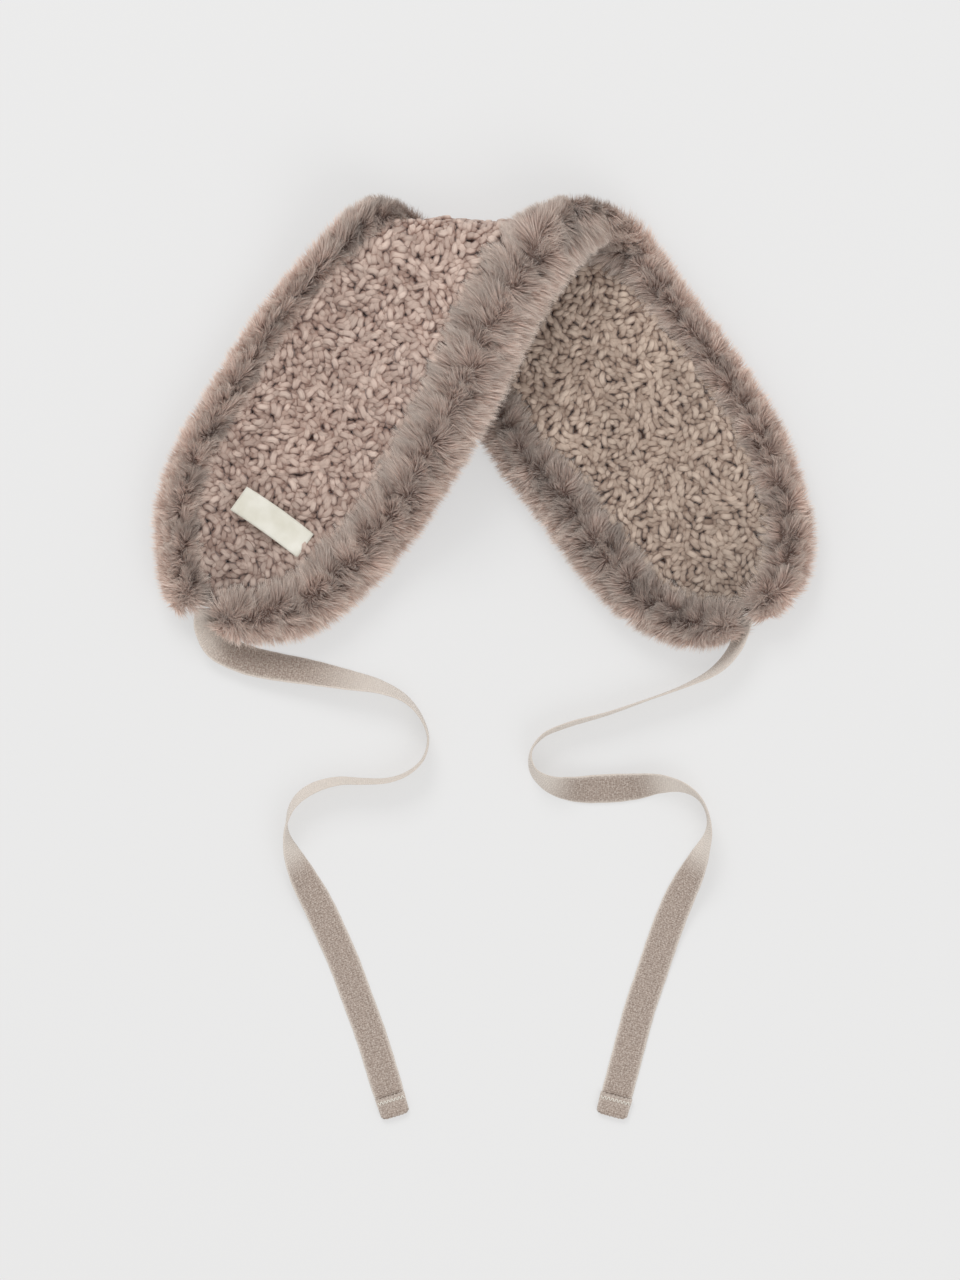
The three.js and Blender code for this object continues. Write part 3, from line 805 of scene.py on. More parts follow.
@dataclass
class BoucleCloth:
    """One cloth of the band: a padded wall and the curls of its pile."""

    band: FoldedBand
    face: Face
    material: bpy.types.Material
    gap: float = 0.0003
    thickness: float = 0.0042
    edge_thickness: float = 0.0016
    taper_run: float = 0.014
    pile: float = 0.0019
    rows: int = 110
    columns: int = 31
    ripple: float = 0.0004
    ripple_wave: float = 0.011
    ripple_inset: float = 0.009
    ripple_run: float = 0.01
    wall_shade_level: float = 0.28
    wall_tint: float = 0.7
    puff_cap: float = 0.0016
    puff_frames: int = 20
    grip_run: float = 0.006
    curl_length: float = 0.0078
    curl_radius: float = 0.0019
    curl_rise: float = 0.0011
    curl_rings: int = 7
    curl_sides: int = 6
    size_range: tuple[float, float] = (0.72, 1.25)
    stretch_range: tuple[float, float] = (0.75, 1.25)
    bend_range: tuple[float, float] = (0.7, 4.0)
    rise_range: tuple[float, float] = (0.7, 1.35)
    s_share: float = 0.3
    s_bend: float = 2.6
    turn_spread: float = 0.38
    perch_spread: float = 0.00028
    perch_most: float = 0.0005
    least_height: float = 0.0002
    candidates: int = 60
    widest: float = 0.12
    tip_shade_share: float = 0.32
    arch_light_place: float = 0.62
    arch_light_share: float = 0.12
    tint_wave: float = 0.06
    edge_overlap: float = 0.0005
    group_size: int = 7
    group_border: float = 0.0013
    group_gap: float = 0.0009
    swell: Array = field(init=False)
    insets: Array = field(init=False)

    @property
    def title(self) -> str:
        """Returns the start of the pieces' names."""
        return "outer_cloth" if self.face is Face.OUTER else "lining_cloth"

    def top(self, inset: Array) -> Array:
        """Returns the height of the wall's pile side from the middle of the two cloths."""
        share = np.clip((inset - self.band.bare_inset) / self.taper_run, 0.0, 1.0)
        full = self.edge_thickness + (self.thickness - self.edge_thickness) * share
        return self.gap / 2 + full - self.pile * share

    def plan(self, t: Array, w: Array) -> tuple[Array, Array]:
        """Returns the unfolded place at share t along the band and w from lower to upper edge."""
        lower = self.band.cloth_edge(Edge.LOWER, t)
        upper = self.band.cloth_edge(Edge.UPPER, t)
        point = lower + (upper - lower) * w[:, None]
        return point[:, 0], point[:, 1]

    def wall(self) -> bpy.types.Object:
        """The closed padded wall: a near and a far side on one grid of the band, joined round.

        Returns:
            The wall, with a small wave of the pile on its far side.
        """
        t = np.linspace(0.0, 1.0, self.rows)
        w = np.linspace(0.0, 1.0, self.columns)
        x, run = self.plan(*(grid.ravel() for grid in np.meshgrid(t, w, indexing="ij")))
        inset = self.band.inset(x, run)
        side = self.face.value
        wave = waves(x, run, self.ripple_wave, 5) * smooth((inset - self.ripple_inset) / self.ripple_run)
        near = self.band.fold(x, run, np.full_like(x, side * self.gap / 2), inset)
        far = self.band.fold(x, run, side * (self.top(inset) + self.ripple * wave), inset)
        shape = (self.rows, self.columns)
        faces = slab_faces(*shape)
        faces = faces if self.face is Face.OUTER else faces[:, ::-1]
        ring = ringed(near.reshape(*shape, 3), far.reshape(*shape, 3))
        piece = new_mesh(self.title + "_wall", ring.reshape(-1, 3), faces)
        # Painted shade: the wall under the curls sits low on the ramp, as the shade between them, and
        # its tone is a little below theirs.
        deep = ringed(np.zeros(shape), self.wall_shade_level + 0.1 * wave.reshape(shape))
        note(piece, "depth", np.clip(deep, 0, 1))
        note(piece, "tone_and_painted_light", np.full(deep.size, self.wall_tint))
        flat = np.stack([x, run], axis=1).reshape(*shape, 2)
        lay_uv(piece, ringed(flat, flat).reshape(-1, 2))
        self.insets = ringed(inset.reshape(shape), inset.reshape(shape))
        return piece

    def swollen(self, places: Array) -> Array:
        """Simulates the wall as a filled pad of cloth, held where the trims grip it.

        Args:
            places: The wall's points.

        Returns:
            Where the simulation takes them.
        """
        model = new_mesh("swelling", places, grid_faces(self.rows, 2 * self.columns, closed=True))
        held = model.vertex_groups.new(name="held")
        weight = 1.0 - smooth((self.insets.ravel() - self.band.bare_inset) / self.grip_run)
        weight = np.round(weight, 1)
        for level in np.unique(weight):
            held.add(np.flatnonzero(weight == level).tolist(), float(level), "REPLACE")
        cloth = model.modifiers.new("swell", "CLOTH")
        settings = {
            "quality": 5, "mass": 0.15, "tension_stiffness": 8.0, "compression_stiffness": 8.0,
            "shear_stiffness": 4.0, "bending_stiffness": 0.4, "shrink_min": -0.03,
            "use_pressure": True, "uniform_pressure_force": 4.0, "vertex_group_mass": held.name,
        }
        for key, value in settings.items():
            setattr(cloth.settings, key, value)
        cloth.settings.effector_weights.gravity = 0.0
        cloth.collision_settings.use_collision = False
        cloth.point_cache.frame_end = self.puff_frames
        for number in range(1, self.puff_frames + 1):
            bpy.context.scene.frame_set(number)
        made = model.evaluated_get(bpy.context.evaluated_depsgraph_get()).data
        after = np.empty(places.size, np.float32)
        made.vertices.foreach_get("co", after)
        bpy.context.scene.frame_set(1)
        bpy.data.objects.remove(model)
        return after.reshape(-1, 3)

    def puff(self, piece: bpy.types.Object) -> None:
        """Swells the wall's far side by the simulated move, capped. The near side stays put."""
        self.swell = np.zeros((self.rows, self.columns, 3))
        places = np.empty(len(piece.data.vertices) * 3, np.float32)
        piece.data.vertices.foreach_get("co", places)
        places = places.reshape(-1, 3)
        move = self.swollen(places) - places
        size = np.linalg.norm(move, axis=1, keepdims=True)
        move = move * (self.puff_cap * np.tanh(size / self.puff_cap) / np.maximum(size, 1e-9))
        move = move.reshape(self.rows, -1, 3)
        move[:, : self.columns] = 0.0
        moved = places + move.reshape(-1, 3)
        moved[:, 2] = np.maximum(moved[:, 2], 0.0)
        piece.data.vertices.foreach_set("co", moved.astype(np.float32).ravel())
        piece.data.update()
        self.swell = move[:, self.columns :][:, ::-1]
        log.info("%s swells by up to %.1f mm", piece.name, np.linalg.norm(move, axis=2).max() / MM)

    def swell_at(self, t: Array, w: Array) -> Array:
        """Returns the wall's swelling at shares along and across the band."""
        last = 0.9999
        return between(
            self.swell, np.clip(t, 0, last) * (self.rows - 1), np.clip(w, 0, last) * (self.columns - 1)
        )

    def places(
        self, count: int, span: tuple[float, float], rng: np.random.Generator
    ) -> tuple[Array, Array]:
        """Chooses where curls stand, evenly over the bare cloth of one stretch.

        Args:
            count: How many curls.
            span: First and last share along the band.
            rng: Source of the choice.

        Returns:
            Shares along the band, and from its lower to its upper edge.
        """
        tries = count * self.candidates
        t = rng.uniform(*span, tries)
        w = rng.uniform(0.0, 1.0, tries)
        x, run = self.plan(t, w)
        room = self.band.cloth_edge(Edge.UPPER, t) - self.band.cloth_edge(Edge.LOWER, t)
        bare = self.band.inset(x, run) > self.band.bare_inset - self.edge_overlap
        fits = bare & (rng.uniform(0, self.widest, tries) < np.hypot(*room.T))
        chosen = spread(x, run, fits, count, rng)
        return t[chosen], w[chosen]

    def groups(self, x: Array, run: Array, rng: np.random.Generator) -> tuple[Array, Array]:
        """Groups curls round random ones among them.

        Args:
            x: Place across of each curl.
            run: Place up the unfolded plan.
            rng: Source of the choice.

        Returns:
            Number of each curl's group, and how near it is to the border of two groups, 0 to 1.
        """
        heads = rng.permutation(len(x))[: max(2, len(x) // self.group_size)]
        away = np.hypot(x[:, None] - x[heads], run[:, None] - run[heads])
        order = np.argsort(away, axis=1)
        near = np.take_along_axis(away, order[:, :2], axis=1)
        return order[:, 0], np.exp(-(near[:, 1] - near[:, 0]) / self.group_border)

    def draw(self, group: Array, parted: Array, rng: np.random.Generator) -> Curls:
        """Draws the chances of curls. Those of a group lie roughly alike.

        Args:
            group: Number of each curl's group.
            parted: How near each is to the border of two groups.
            rng: Source of the chances.

        Returns:
            The curls.
        """
        n = len(group)
        turn = rng.uniform(0.0, math.pi, n)[group] + rng.normal(0.0, self.turn_spread, n)
        size = rng.uniform(*self.size_range, n)
        length = self.curl_length * size * rng.uniform(*self.stretch_range, n)
        bend = rng.uniform(*self.bend_range, n) * rng.choice([-1.0, 1.0], n)
        s_shaped = (rng.uniform(0, 1, n) < self.s_share) & (np.abs(bend) < self.s_bend)
        height = self.curl_rise * rng.uniform(*self.rise_range, n)
        perch = rng.normal(0.0, self.perch_spread, n)
        perch = np.clip(perch, -self.perch_most, self.perch_most) - self.group_gap * parted
        return Curls(turn, length, self.curl_radius * size**0.6, bend, s_shaped, height, perch)

    def curls(self, name: str, count: int, span: tuple[float, float], seed: int) -> bpy.types.Object:
        """The curls of the pile on one stretch of the band, each a short closed tube.

        Args:
            name: The piece's name.
            count: How many curls.
            span: First and last share along the band.
            seed: Seed of the places and shapes.

        Returns:
            One mesh with all the curls.
        """
        rng = np.random.default_rng(seed)
        t, w = self.places(count, span, rng)
        x, run = self.plan(t, w)
        group, parted = self.groups(x, run, rng)
        u = np.linspace(-1.0, 1.0, self.curl_rings)[None, :]
        v = np.linspace(0, 2 * math.pi, self.curl_sides + 1)[:-1]
        across, along, up = self.draw(group, parted, rng).flat_rings(u, v)
        place_x = (x[:, None, None] + across).ravel()
        place_run = (run[:, None, None] + along).ravel()
        deep = self.band.inset(place_x, place_run)
        rise = self.face.value * (self.top(deep) + up.ravel())
        points = self.band.fold(place_x, place_run, rise, deep).reshape(*up.shape, 3)
        points = points + self.swell_at(t, w)[:, None, None, :]
        points[..., 2] = np.maximum(points[..., 2], self.least_height)
        piece = new_tubes(name, points, turned=self.face is Face.LINING)
        # Painted shade and highlight: each curl is darker low on the cloth, down its sides and at its
        # ends, and palest on its upper side.
        level = 0.42 * np.clip((up + 0.0004) / 0.0034, 0.0, 1.0) + 0.58 * (0.5 + 0.5 * np.sin(v))
        level = tube_values(level * (1 - 0.35 * np.abs(u[..., None]) ** 3), (0.0, 0.0))
        note(piece, "depth", level)
        # Painted shade, darkening the curls toward both lobes' tips.
        tip = 1.0 - smooth(np.where(t < 0.5, t, 1.5 * (1.0 - t)) / self.tip_shade_share)
        # Painted light on the lining near the fold, lifting the shade under the arch.
        painted_light_under_arch = smooth(1.0 - np.abs(t - self.arch_light_place) / self.arch_light_share)
        painted_light_under_arch = painted_light_under_arch if self.face is Face.LINING else 0.0
        tone_and_painted_light = 0.8 + 0.08 * rng.normal(0, 1, len(x)) + 0.08 * waves(x, run, self.tint_wave, 9, 2)
        # Painted shade where two groups of curls part.
        tone_and_painted_light = tone_and_painted_light - 0.16 * parted - 0.62 * tip + 0.2 * painted_light_under_arch
        note(piece, "tone_and_painted_light", np.repeat(np.clip(tone_and_painted_light, 0, 1), level.shape[1]))
        shift = rng.uniform(0, 3, (len(x), 1))
        half, round_step = 0.003, 0.0014
        length_uv = tube_values(np.broadcast_to(half * u[..., None], up.shape), (-half, half))
        round_uv = tube_values(np.broadcast_to(round_step * v, up.shape), (0.0, 0.0))
        lay_uv(piece, (np.stack([length_uv, round_uv], axis=-1) + shift[..., None]).reshape(-1, 2))
        return piece

    def build(self, shown: int, hidden: int) -> None:
        """Makes the wall and both lobes' curls and puts them in place of the CAD cloth.

        Args:
            shown: Number of curls on the lobe that shows.
            hidden: Number of curls on the lobe that faces away.
        """
        wall = self.wall()
        self.puff(wall)
        outer = self.face is Face.OUTER
        counts = (shown, hidden) if outer else (hidden, shown)
        split = 0.53 if outer else 0.47
        front = self.curls(self.title + "_front_curls", counts[0], (0.0, split), 21)
        back = self.curls(self.title + "_back_curls", counts[1], (split, 1.0), 22)
        slot = "outer_boucle" if outer else "lining_boucle"
        dress(wall, self.material, slot, self.title)
        dress(front, self.material, slot)
        dress(back, self.material, slot)


def spread(x: Array, y: Array, fits: Array, count: int, rng: np.random.Generator) -> Array:
    """Chooses points that lie evenly.

    A brick grid is laid over them, and in each cell the point nearest a jittered middle is
    chosen. The cell's size is halved in on until about the wanted number of cells is filled.

    Args:
        x: First coordinate of the candidates.
        y: Second coordinate.
        fits: Which candidates may be chosen.
        count: How many to choose.
        rng: Source of the jitter.

    Returns:
        Numbers of the chosen candidates.
    """
    good = np.flatnonzero(fits)
    jitters, tries = 4096, 18
    shift = rng.uniform(-0.24, 0.24, (2, jitters))
    low, high = 0.0005, 0.02
    for _ in range(tries):
        cell = (low + high) / 2
        down = y[good] / (0.866 * cell)
        row = np.floor(down).astype(np.int64)
        across = x[good] / cell + 0.5 * (row % 2)
        column = np.floor(across).astype(np.int64)
        key = row * 100003 + column
        pick = (row * 37 + column * 101) % jitters
        away = np.hypot(across - column - 0.5 - shift[0][pick], down - row - 0.5 - shift[1][pick])
        order = np.lexsort((away, key))
        _, first = np.unique(key[order], return_index=True)
        low, high = (cell, high) if len(first) > count else (low, cell)
    return good[rng.permutation(order[first])[:count]]


# Fur


@dataclass
class Strands:
    """Many hairs, with one number for each in every array.

    Places along the rail are distances, and angles go round the roll from outward, a quarter
    turn being up. The turn is that round the fold.
    """

    run: Array
    angle: Array
    turn: Array
    above: Array
    behind: Array = field(init=False)
    parting_shade: Array = field(init=False)
    tip_run: Array = field(init=False)
    tip_angle: Array = field(init=False)
    past: Array = field(init=False)
    edge: Array = field(init=False)
    tall: Array = field(init=False)

    def __post_init__(self) -> None:
        """Works out how far round to the back lobe each hair is, and how near the outer edge."""
        self.behind = smooth(self.turn - 1.0)
        self.edge = smooth(1.6 * np.cos(self.angle) - 0.5)


@dataclass
class FurTrim:
    """One fur trim: the roll of dense underfur along an edge, and the hairs that stand from it."""

    band: FoldedBand
    edge: Edge
    hair: bpy.types.Material
    pelt: bpy.types.Material
    rise: float = 0.011
    fold_rise: float = 0.0145
    drop: float = 0.010
    reach: float = 0.0029
    fringe: tuple[float, float] = (0.0062, 0.0062)
    parting: tuple[float, float] = (1.65, 2.0)
    part_width: float = 1.1
    part_wave: float = 0.034
    part_waver: float = 0.5
    valley_wave: float = 0.026
    fall: float = 0.34
    lean_wave: float = 0.022
    lean_run: float = 0.0050
    edge_lean_loss: float = 0.0030
    lean_to_tips: float = 0.0030
    lean_turn_wave: float = 0.018
    lean_angle: float = 0.26
    lock_run: float = 0.0005
    lock_angle: float = 0.05
    most_draw: float = 0.4
    run_spread: float = 0.0006
    angle_spread: float = 0.06
    core: float = 0.50
    end_round: float = 0.010
    end_run: float = 0.015
    end_lengths: tuple[float, float] = (-0.0075, 0.0115)
    end_slip: float = 0.0048
    end_crowd: float = 0.9
    crowd_run: float = 0.012
    shown_share: float = 0.86
    hair_width: float = 0.00027
    clump: float = 0.0019
    girth: float = 0.014
    slot_angle: float = 0.28
    top_angle: float = math.pi - 0.33
    patch_wave: float = 0.022
    base_tint: float = 0.65
    tint_spread: float = 0.12
    rows: int = 260
    sides: int = 22
    samples: int = 800

    @property
    def title(self) -> str:
        """Returns the CAD node's name, with which the pieces' names start."""
        return "lower_fur_trim" if self.edge is Edge.LOWER else "upper_fur_trim"

    @property
    def rail(self) -> SmoothLine:
        """Returns the line along the trim's middle."""
        return self.band.rails[self.edge]

    def surface(
        self, run: Array, angle: Array, grow: float, out: Array | float = 0.0, slip: Array | float = 0.0
    ) -> Array:
        """A point of the roll: an ellipse round the rail, carried along it and folded.

        Args:
            run: Distance along the rail, which may pass its ends.
            angle: Angle round the section, 0 outward and a quarter turn up.
            grow: Share of the roll's radius.
            out: Distance added to that radius.
            slip: Distance that the point lies further in, over the cloth.

        Returns:
            Places in the row's frame.
        """
        held = np.clip(run, 0.0, self.rail.length)
        place, half, direction, outward = self.band.along(self.edge, self.rail.share_at(held))
        place = place + direction * (run - held)[:, None]
        inner = np.minimum(held, self.rail.length - held)
        blunt = np.clip(0.4 + inner / self.end_round, 0.0, 1.0)
        rounding = np.sqrt(1 - (1 - blunt) ** 2)
        turn = self.band.turn(place[:, 1])
        rise = self.rise + (self.fold_rise - self.rise) * np.sin(turn)
        tall = np.where(np.sin(angle) > 0, rise, self.drop)
        wide = (half * grow + out) * rounding * np.cos(angle) - slip
        high = (tall * grow + out) * rounding * np.sin(angle)
        spot = place + outward * wide[:, None]
        inset = np.maximum(self.band.slot_depth - half - wide, 0.0)
        return self.band.fold(spot[:, 0], spot[:, 1], high, inset)

    def roll(self) -> bpy.types.Object:
        """The closed roll of underfur, a smaller copy of the trim's own form.

        Returns:
            The roll with a UV map of distance along it and angle round it.
        """
        run = np.linspace(0.0, self.rail.length, self.rows)
        angle = np.linspace(math.pi - self.slot_angle, self.slot_angle - math.pi, self.sides)
        runs, angles = (grid.ravel() for grid in np.meshgrid(run, angle, indexing="ij"))
        rings = self.surface(runs, angles, self.core).reshape(self.rows, self.sides, 3)
        uv = np.stack([runs, angles * 0.01], axis=1)
        return new_tube(self.title + "_pelt", rings, uv, turned=self.edge is Edge.UPPER)

    def spots(self, share: Array) -> tuple[Array, Array]:
        """Distances along the rail that give every stretch of the surface its share of hairs.

        The share is the sum, from the start, of the roll's width times its stretch at the fold.
        Both ends have more, for their rounded tips.

        Args:
            share: Shares of all hairs, 0 to 1.

        Returns:
            Distances along the rail, and the turn round the fold there.
        """
        run = np.linspace(0.0, self.rail.length, self.samples)
        place, half, _, _ = self.band.along(self.edge, self.rail.share_at(run))
        turn = self.band.turn(place[:, 1])
        from_end = np.minimum(run, self.rail.length - run)
        ends = 1.0 + self.end_crowd * (1 - smooth(from_end / self.crowd_run))
        total = np.cumsum(half * (1.0 + 0.9 * np.sin(turn)) * ends)
        spot = np.interp(share, (total - total[0]) / (total[-1] - total[0]), run)
        return spot, np.interp(spot, run, turn)

    def roots(self, count: int, span: tuple[float, float], rng: np.random.Generator) -> Strands:
        """Draws where hairs stand: most on the side that shows, the rest beneath.

        Args:
            count: How many hairs.
            span: First and last share of the trim's hairs.
            rng: Source of the places.

        Returns:
            The hairs, with their roots.
        """
        share = span[0] + (span[1] - span[0]) * (np.arange(count) + rng.uniform(0, 1, count)) / count
        run, turn = self.spots(share)
        above = rng.uniform(0, 1, count) < self.shown_share
        spot = rng.uniform(0, 1, count)
        angle = np.where(
            above, -0.45 + (math.pi + 0.2) * spot, -math.pi + 0.35 + (math.pi - 0.8) * spot
        )
        return Strands(run, angle, turn, above)

    def locks(self, run: Array, flat: Array, seed: int) -> tuple[Array, Array, list[Array]]:
        """Finds the lock that each hair belongs to, in a grid of locks over the skin.

        A lock's chances are the fractional parts of a large multiple of the sine of its number.

        Args:
            run: Distance of each root along the rail.
            flat: Distance of each root round the roll.
            seed: Seed of the chances.

        Returns:
            Distance and angle of the lock's middle, and its four chances.
        """
        row, column = np.floor(run / self.clump), np.floor(flat / self.clump)
        number = row * 157.31 + column * 311.7 + seed
        chances = [np.modf(np.sin(number * k) * 43758.5453)[0] for k in (1.0, 1.7, 2.3, 3.1)]
        middle_run = (row + 0.5 + 0.4 * chances[0]) * self.clump
        middle_angle = (column + 0.5 + 0.4 * chances[1]) * self.clump / self.girth
        return middle_run, middle_angle, chances

    def lay(self, hairs: Strands, seed: int, rng: np.random.Generator) -> list[Array]:
        """Lays the tips of the hairs.

        Hairs part along a wandering line on the roll's top and fall to both sides, lean along
        the roll by a smooth random field, and draw toward the middle of their lock. At the
        trim's ends they reach past it. On the back lobe those beneath the fold are turned over.

        Args:
            hairs: The hairs, whose tips this sets.
            seed: Seed of the fields.
            rng: Source of each hair's own chances.

        Returns:
            Four chances of each hair's lock.
        """
        run, angle, turn, edge = hairs.run, hairs.angle, hairs.turn, hairs.edge
        count, flat = len(run), self.girth * hairs.angle
        near, far = self.parting
        waver = self.part_waver * waves(run, flat, self.part_wave, seed + 2, 3)
        part = near + (far - near) * hairs.behind + waver
        away = (angle - part) / self.part_width
        fall = self.fall * np.tanh(away) * (1.0 - 0.5 * np.cos(angle) ** 2) * hairs.above
        # Painted shade in the parting: strongest on its line and where a slow field opens it.
        open_part = smooth(0.3 + 1.3 * waves(run, flat, self.valley_wave, seed + 6, 2))
        hairs.parting_shade = np.exp(-(away**2)) * open_part
        middle_run, middle_angle, chances = self.locks(run, flat, seed)
        draw = rng.uniform(0.0, self.most_draw, count) * (1 - 0.4 * edge)
        lean = self.lean_run - self.edge_lean_loss * edge
        lean_run = lean * waves(run, flat, self.lean_wave, seed + 3) + self.lock_run * chances[2]
        lean_run = lean_run + self.lean_to_tips * np.cos(turn) * (1 - 0.5 * edge)
        lean_angle = self.lean_angle * waves(run, flat, self.lean_turn_wave, seed + 4)
        lean_angle = lean_angle + self.lock_angle * chances[3] + fall
        tip_run = run + draw * (middle_run - run) + lean_run
        tip_run = tip_run + rng.normal(0, self.run_spread, count)
        tip_angle = angle + draw * (middle_angle - angle) + lean_angle
        tip_angle = tip_angle + rng.normal(0, self.angle_spread, count)
        length = self.rail.length
        close = 1 - smooth(np.minimum(run, length - run) / self.end_run)
        hairs.past = close * rng.uniform(0.0, 1.1, count)
        hairs.tip_run = tip_run + np.where(run < length / 2, *self.end_lengths) * hairs.past
        tip_angle = tip_angle + 0.3 * close * rng.normal(0, 1, count)
        tip_angle = np.clip(tip_angle, -self.top_angle, self.top_angle)
        under = rng.uniform(0, 1, count) < smooth((turn - 2.0) / 0.9)
        hairs.angle, hairs.tip_angle = (np.where(under, -v, v) for v in (angle, tip_angle))
        return chances

    def leaves(self, hairs: Strands, chance: Array, rng: np.random.Generator) -> Array:
        """Works out the four points of each hair's narrow leaf.

        A leaf starts on the roll, is widest and bent in its middle, and its tip lies on the
        trim's outer form. Inward ones slip over the edge of the cloth.

        Args:
            hairs: The hairs.
            chance: A chance of each hair's lock.
            rng: Source of each hair's own chances.

        Returns:
            Points, hairs by 4 by 3.
        """
        count = len(hairs.run)
        inward = smooth((np.abs(hairs.tip_angle) - 1.9) / 0.8)
        fringe = self.fringe[0] + (self.fringe[1] - self.fringe[0]) * hairs.behind
        slip = fringe * inward * rng.uniform(0.1, 1.0, count) + self.end_slip * hairs.past
        hairs.tall = rng.uniform(0.0, 1.0, count) ** (0.7 + 1.1 * hairs.edge)
        longer = (1.6 + 0.6 * hairs.edge) * hairs.tall - 0.6
        out = self.reach * longer * (1 - 0.6 * inward) + 0.0003 * chance
        held = np.clip(hairs.angle, -self.top_angle, self.top_angle)
        root = self.surface(hairs.run, held, self.core * 0.92)
        middle_run = hairs.run + 0.4 * (hairs.tip_run - hairs.run)
        middle_angle = hairs.angle + 0.4 * (hairs.tip_angle - hairs.angle)
        middle = self.surface(middle_run, middle_angle, 0.55 + 0.45 * self.core, out * 0.55, slip * 0.3)
        tip = self.surface(hairs.tip_run, hairs.tip_angle, 1.0, out, slip)
        low = 0.0003 + 0.0012 * rng.uniform(0, 1, count)
        tip[:, 2] = np.maximum(tip[:, 2], low)
        middle[:, 2] = np.maximum(middle[:, 2], low)
        facing = np.array([0.0, 0.0, 1.0]) + 0.75 * rng.normal(0, 1, (count, 3))
        half_width = self.hair_width * rng.uniform(0.6, 1.4, count)[:, None] / 2
        side = unit(np.cross(unit(tip - middle), facing)) * half_width
        return np.stack([root, middle - side, middle + side, tip], axis=1)

    def tones_and_painted_light(self, hairs: Strands, flat: Array, chance: Array, seed: int) -> Array:
        """Works out how light each hair is, before its own chance.

        Outward tips get painted rim light, hairs in the parting get painted shade, those at the fold are
        darker, and the lower trim's hairs past the top of the fold get painted shade.

        Args:
            hairs: The hairs.
            flat: Distance of each root round the roll.
            chance: A chance of each hair's lock.
            seed: Seed of the fields.

        Returns:
            Tints, about 0 to 1.
        """
        lower = self.edge is Edge.LOWER
        # Painted rim light on outward tips, most on long hairs.
        painted_rim_light = smooth(2.2 * np.cos(hairs.tip_angle) - 1.0) * (0.5 + 0.5 * hairs.tall)
        patch = self.base_tint + 0.26 * painted_rim_light
        patch = patch + 0.13 * waves(hairs.run, flat, self.patch_wave, seed + 5, 3)
        # Painted shade in the parting, stronger on the lower trim's front lobe.
        parting_shade = hairs.parting_shade * (2.2 - 1.2 * hairs.behind) if lower else hairs.parting_shade
        patch = patch + (0.07 * (1 - hairs.behind) if lower else 0.0) - 0.18 * parting_shade
        # Painted shade on the lower trim past the top of the fold; all hairs darker round the fold.
        shade = 0.17 if lower else 0.0
        patch = patch - 0.15 * np.sin(hairs.turn) - shade * smooth(hairs.turn - 1.6)
        return patch + 0.08 * chance

    def hairs(self, name: str, count: int, span: tuple[float, float], seed: int) -> bpy.types.Object:
        """The hairs on one stretch of the trim, each a narrow leaf of two triangles.

        Args:
            name: The piece's name.
            count: How many hairs.
            span: First and last share of the trim's hairs.
            seed: Seed of the places and shapes.

        Returns:
            One mesh with all the hairs.
        """
        rng = np.random.default_rng(seed)
        strands = self.roots(count, span, rng)
        flat = self.girth * strands.angle
        chances = self.lay(strands, seed, rng)
        points = self.leaves(strands, chances[0], rng)
        faces = copies(np.array([[0, 2, 1], [1, 2, 3]]), count, 4)
        piece = new_mesh(name, points.reshape(-1, 3), faces)
        note(piece, "along", np.tile([0.0, 0.48, 0.48, 1.0], count))
        tone_and_painted_light = self.tones_and_painted_light(strands, flat, chances[2], seed)
        tone_and_painted_light = tone_and_painted_light + self.tint_spread * rng.normal(0, 1, count)
        note(piece, "tone_and_painted_light", np.repeat(np.clip(tone_and_painted_light, 0, 1), 4))
        return piece

    def build(self, hairs: int) -> None:
        """Makes the roll and its hairs, in two stretches, and puts them in the CAD trim's place.

        Args:
            hairs: Number of hairs on the whole trim.
        """
        dress(self.roll(), self.pelt, "fur", self.title)
        for number, word in enumerate(("front", "back")):
            span = (number / 2, (number + 1) / 2)
            piece = self.hairs(f"{self.title}_{word}_hair", hairs // 2, span, 31 + number)
            dress(piece, self.hair, "fur")


# Ties


